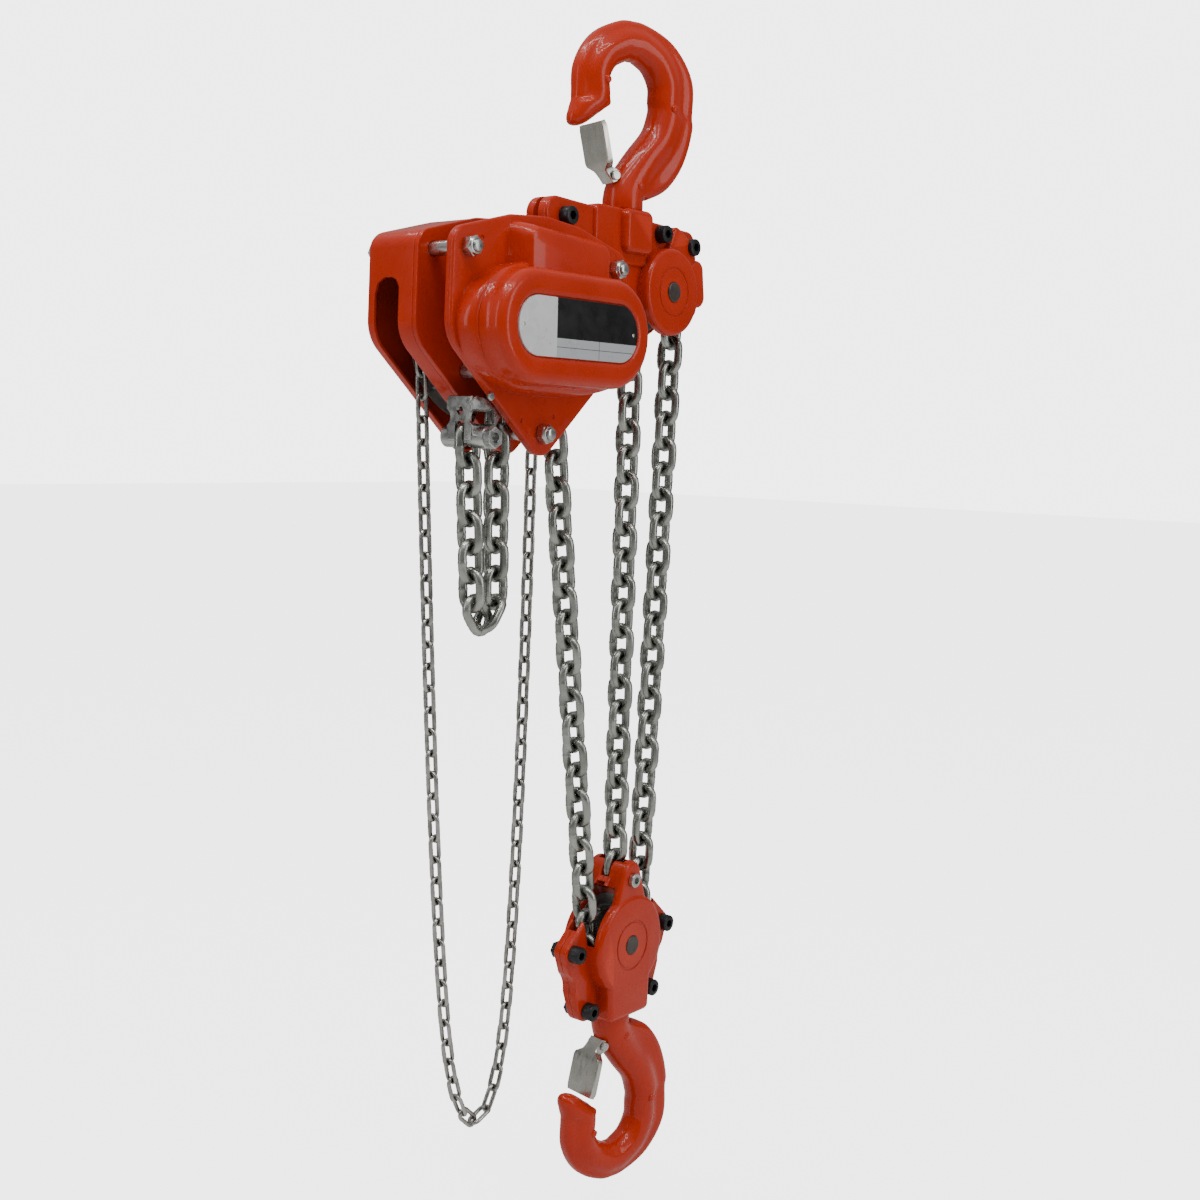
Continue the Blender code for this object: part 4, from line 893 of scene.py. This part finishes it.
def hooks():
    latch_dx, latch_dz = LATCH_TIP[0] - LATCH_PIVOT[0], LATCH_TIP[1] - LATCH_PIVOT[1]
    length = math.hypot(latch_dx, latch_dz) + 7.0
    lean = math.atan2(latch_dz, latch_dx)
    for prefix, axis_x, saddle, up, yaw in (("top", 0.0, 0.0, 1.0, math.radians(-16)),
                                            ("lower", BLOCK[0], LOWER_SADDLE, -1.0, math.radians(-9))):
        def rail(along, off, y):
            x = LATCH_PIVOT[0] + along * math.cos(lean) - off * math.sin(lean)
            z = LATCH_PIVOT[1] + along * math.sin(lean) + off * math.cos(lean)
            return (x, y, z * up)

        forging = loft(bmesh.new(), [section(row, up) for row in hook_rows()])
        lug = slab([(*LATCH_PIVOT, 7.0), (-4, -138, 9.0)], -7.5, 7.5, 1.5, 1.5)
        shank = upright_round([(SHANK_R, -158), (SHANK_R, -191), (SHANK_R - 1.2, -192)], up)
        collar_profile = [(NECK_R - 2, -146), (NECK_R, -150), (NECK_R, -161), (NECK_R - 1.5, -162.5)]
        collar = upright_round(collar_profile, up)
        bore = drill([LATCH_PIVOT], 3.2, -30, 30)
        ledge = nose()
        for bm in (lug, bore, ledge):
            bmesh.ops.scale(bm, vec=(1, 1, up), verts=bm.verts)
        for bm in (forging, lug, shank, collar, bore, ledge):
            place_hook(bm, axis_x, saddle, yaw)
        marks = place_hook(pips(up), axis_x, saddle, yaw)
        body = prefix + "_hook_body"
        piece(prefix + "_hook_forging", forging, RED, body, (prefix + "_hook",),
              adds=[lug, shank, collar, marks, ledge], cuts=[bore], sharp=50.0)
        nut_profile = [(SHANK_R + 0.6, -176.6), (22.5, -176.6), (22.5, -181.6), (20, -181.6), (20, -190.6),
                       (SHANK_R + 0.6, -190.6)]
        nut = upright_round(nut_profile, up)
        piece(prefix + "_hook_nut_turned", place_hook(nut, axis_x, saddle, yaw), STEEL, body,
              (prefix + "_hook_nut",))
        sheet = []
        for s, half, web, lip in ((-6.5, 10.6, 5.5, -4), (0, 10.6, 7.6, -6), (6, 10.8, 10.0, -5),
                                  (10, 12, 11.4, 1), (16, 21, 12.6, 4.5), (20, 22.6, 12.4, 5),
                                  (length - 6, 22.6, 6.8, -0.5), (length, 21, 6.0, 0)):
            loop = [(-half, lip), (-half, web - 1.2), (-half + 1.2, web), (half - 1.2, web),
                    (half, web - 1.2), (half, lip), (half - 1.8, lip), (half - 1.8, web - 1.9),
                    (-half + 1.8, web - 1.9), (-half + 1.8, lip)]
            sheet.append([rail(s, off, y) for y, off in loop])
        latch = place_hook(loft(bmesh.new(), sheet), axis_x, saddle, yaw)
        piece(prefix + "_latch_sheet", latch, STAINLESS, prefix + "_latch_body", (prefix + "_latch",))
        pin_profile = [(4.6, -14.4), (5.2, -13.8), (5.2, -11.2), (3, -11.2), (3, 11.2), (4.6, 11.2),
                       (4.6, 12.6), (3.4, 13.4)]
        pin = turned(pin_profile, 28, (LATCH_PIVOT[0], LATCH_PIVOT[1] * up))
        piece(prefix + "_latch_pin_turned", place_hook(pin, axis_x, saddle, yaw), ZINC, body,
              (prefix + "_latch_pin",))


# ---------------------------------------------------------------- carried-over solids

def dress_inner_parts():
    looks = {STEEL: ("chain_stripper", "disc_gear_left", "disc_gear_right", "drive_shaft", "load_gear",
                     "guide_roller_left", "guide_roller_right", "pawl_lower", "pawl_upper", "ratchet_disc",
                     "yoke_link_pin", "sheave_bearing_gear_side", "sheave_bearing_wheel_side", "brake_hub"),
             LINING: ("friction_disc_inner", "friction_disc_outer"), IRON: ("load_sheave",)}
    for look, names in looks.items():
        for name in names:
            mesh = frame["nodes"][name].data
            mesh.materials.clear()
            mesh.materials.append(look)


# ---------------------------------------------------------------- studio

def area(name, place, target, size, power):
    light = bpy.data.lights.new(name, "AREA")
    light.shape = "RECTANGLE"
    light.size, light.size_y = size
    light.energy = power
    obj = bpy.data.objects.new(name, light)
    bpy.context.scene.collection.objects.link(obj)
    obj.location = place
    obj.rotation_euler = (Vector(target) - Vector(place)).to_track_quat("-Z", "Y").to_euler()


def studio_set():
    reach, top = 20000, -1350
    edge = [(-reach, top - 2), (reach, top - 2), (reach, top), (-reach, top)]
    floor = raw("studio_floor", prism(edge, -reach, reach))
    floor.data.materials.append(studio("pale_floor", (0.86, 0.86, 0.85)))
    world = bpy.data.worlds.new("studio_world")
    bpy.context.scene.world = world
    world.use_nodes = True
    tree = world.node_tree
    shade = tree.nodes["Background"]
    where = tree.nodes.new("ShaderNodeTexCoord")
    split = tree.nodes.new("ShaderNodeSeparateXYZ")
    tree.links.new(where.outputs["Generated"], split.inputs[0])
    ramp = tree.nodes.new("ShaderNodeValToRGB")
    stops = ((0.0, 0.10), (0.46, 0.14), (0.56, 0.26), (0.8, 0.62), (1.0, 0.95))
    for i, (spot, value) in enumerate(stops):
        stop = ramp.color_ramp.elements[i] if i < 2 else ramp.color_ramp.elements.new(spot)
        stop.position = spot
        stop.color = (value, value, value, 1.0)
    lift = tree.nodes.new("ShaderNodeMapRange")
    lift.inputs["From Min"].default_value = -1.0
    tree.links.new(split.outputs[2], lift.inputs["Value"])
    tree.links.new(lift.outputs["Result"], ramp.inputs["Fac"])
    camera_ray = tree.nodes.new("ShaderNodeLightPath").outputs["Is Camera Ray"]
    mix = tree.nodes.new("ShaderNodeMix")
    mix.data_type = "RGBA"
    mix.inputs[7].default_value = (6.0, 6.0, 6.0, 1.0)
    tree.links.new(camera_ray, mix.inputs[0])
    tree.links.new(ramp.outputs["Color"], mix.inputs[6])
    tree.links.new(mix.outputs[2], shade.inputs["Color"])
    shade.inputs["Strength"].default_value = 0.72
    middle = (-0.1, 0.0, -0.5)
    for i in range(4):
        place, target = (-0.9, -1.5 + 0.75 * i, 1.7), (-0.1, -0.3 + 0.2 * i, -0.5)
        area(f"ceiling_strip_{i + 1}", place, target, (2.4, 0.06), 11.0)
    area("front_right", (0.7, -2.4, 0.1), middle, (0.9, 1.8), 16.0)
    area("left_rim", (-2.3, 0.9, 0.3), middle, (0.5, 1.8), 9.0)


def photo_camera():
    """The main view: level with the body, from its left front, a little above the middle."""
    place = Vector((-1.4051, -1.1130, -0.4179))
    right = Vector((0.62863, -0.77721, 0.02777))
    ahead = Vector((0.77507, 0.62317, -0.10453))
    over = right.cross(ahead)
    data = bpy.data.cameras.new("main_camera")
    data.sensor_width = 36.0
    data.lens = 46.527
    data.clip_end = 100.0
    obj = bpy.data.objects.new("main_camera", data)
    bpy.context.scene.collection.objects.link(obj)
    axes = Matrix((right, over, -ahead)).transposed()
    obj.matrix_world = Matrix.Translation(place) @ axes.to_4x4()
    bpy.context.scene.camera = obj


side_plates()
gear_cover()
data_plate()
wheel_cover()
stays()
end_anchor()
wheels()
top_yoke()
bottom_block()
hooks()
load_chain()
hand_chain()
dress_inner_parts()
studio_set()
photo_camera()
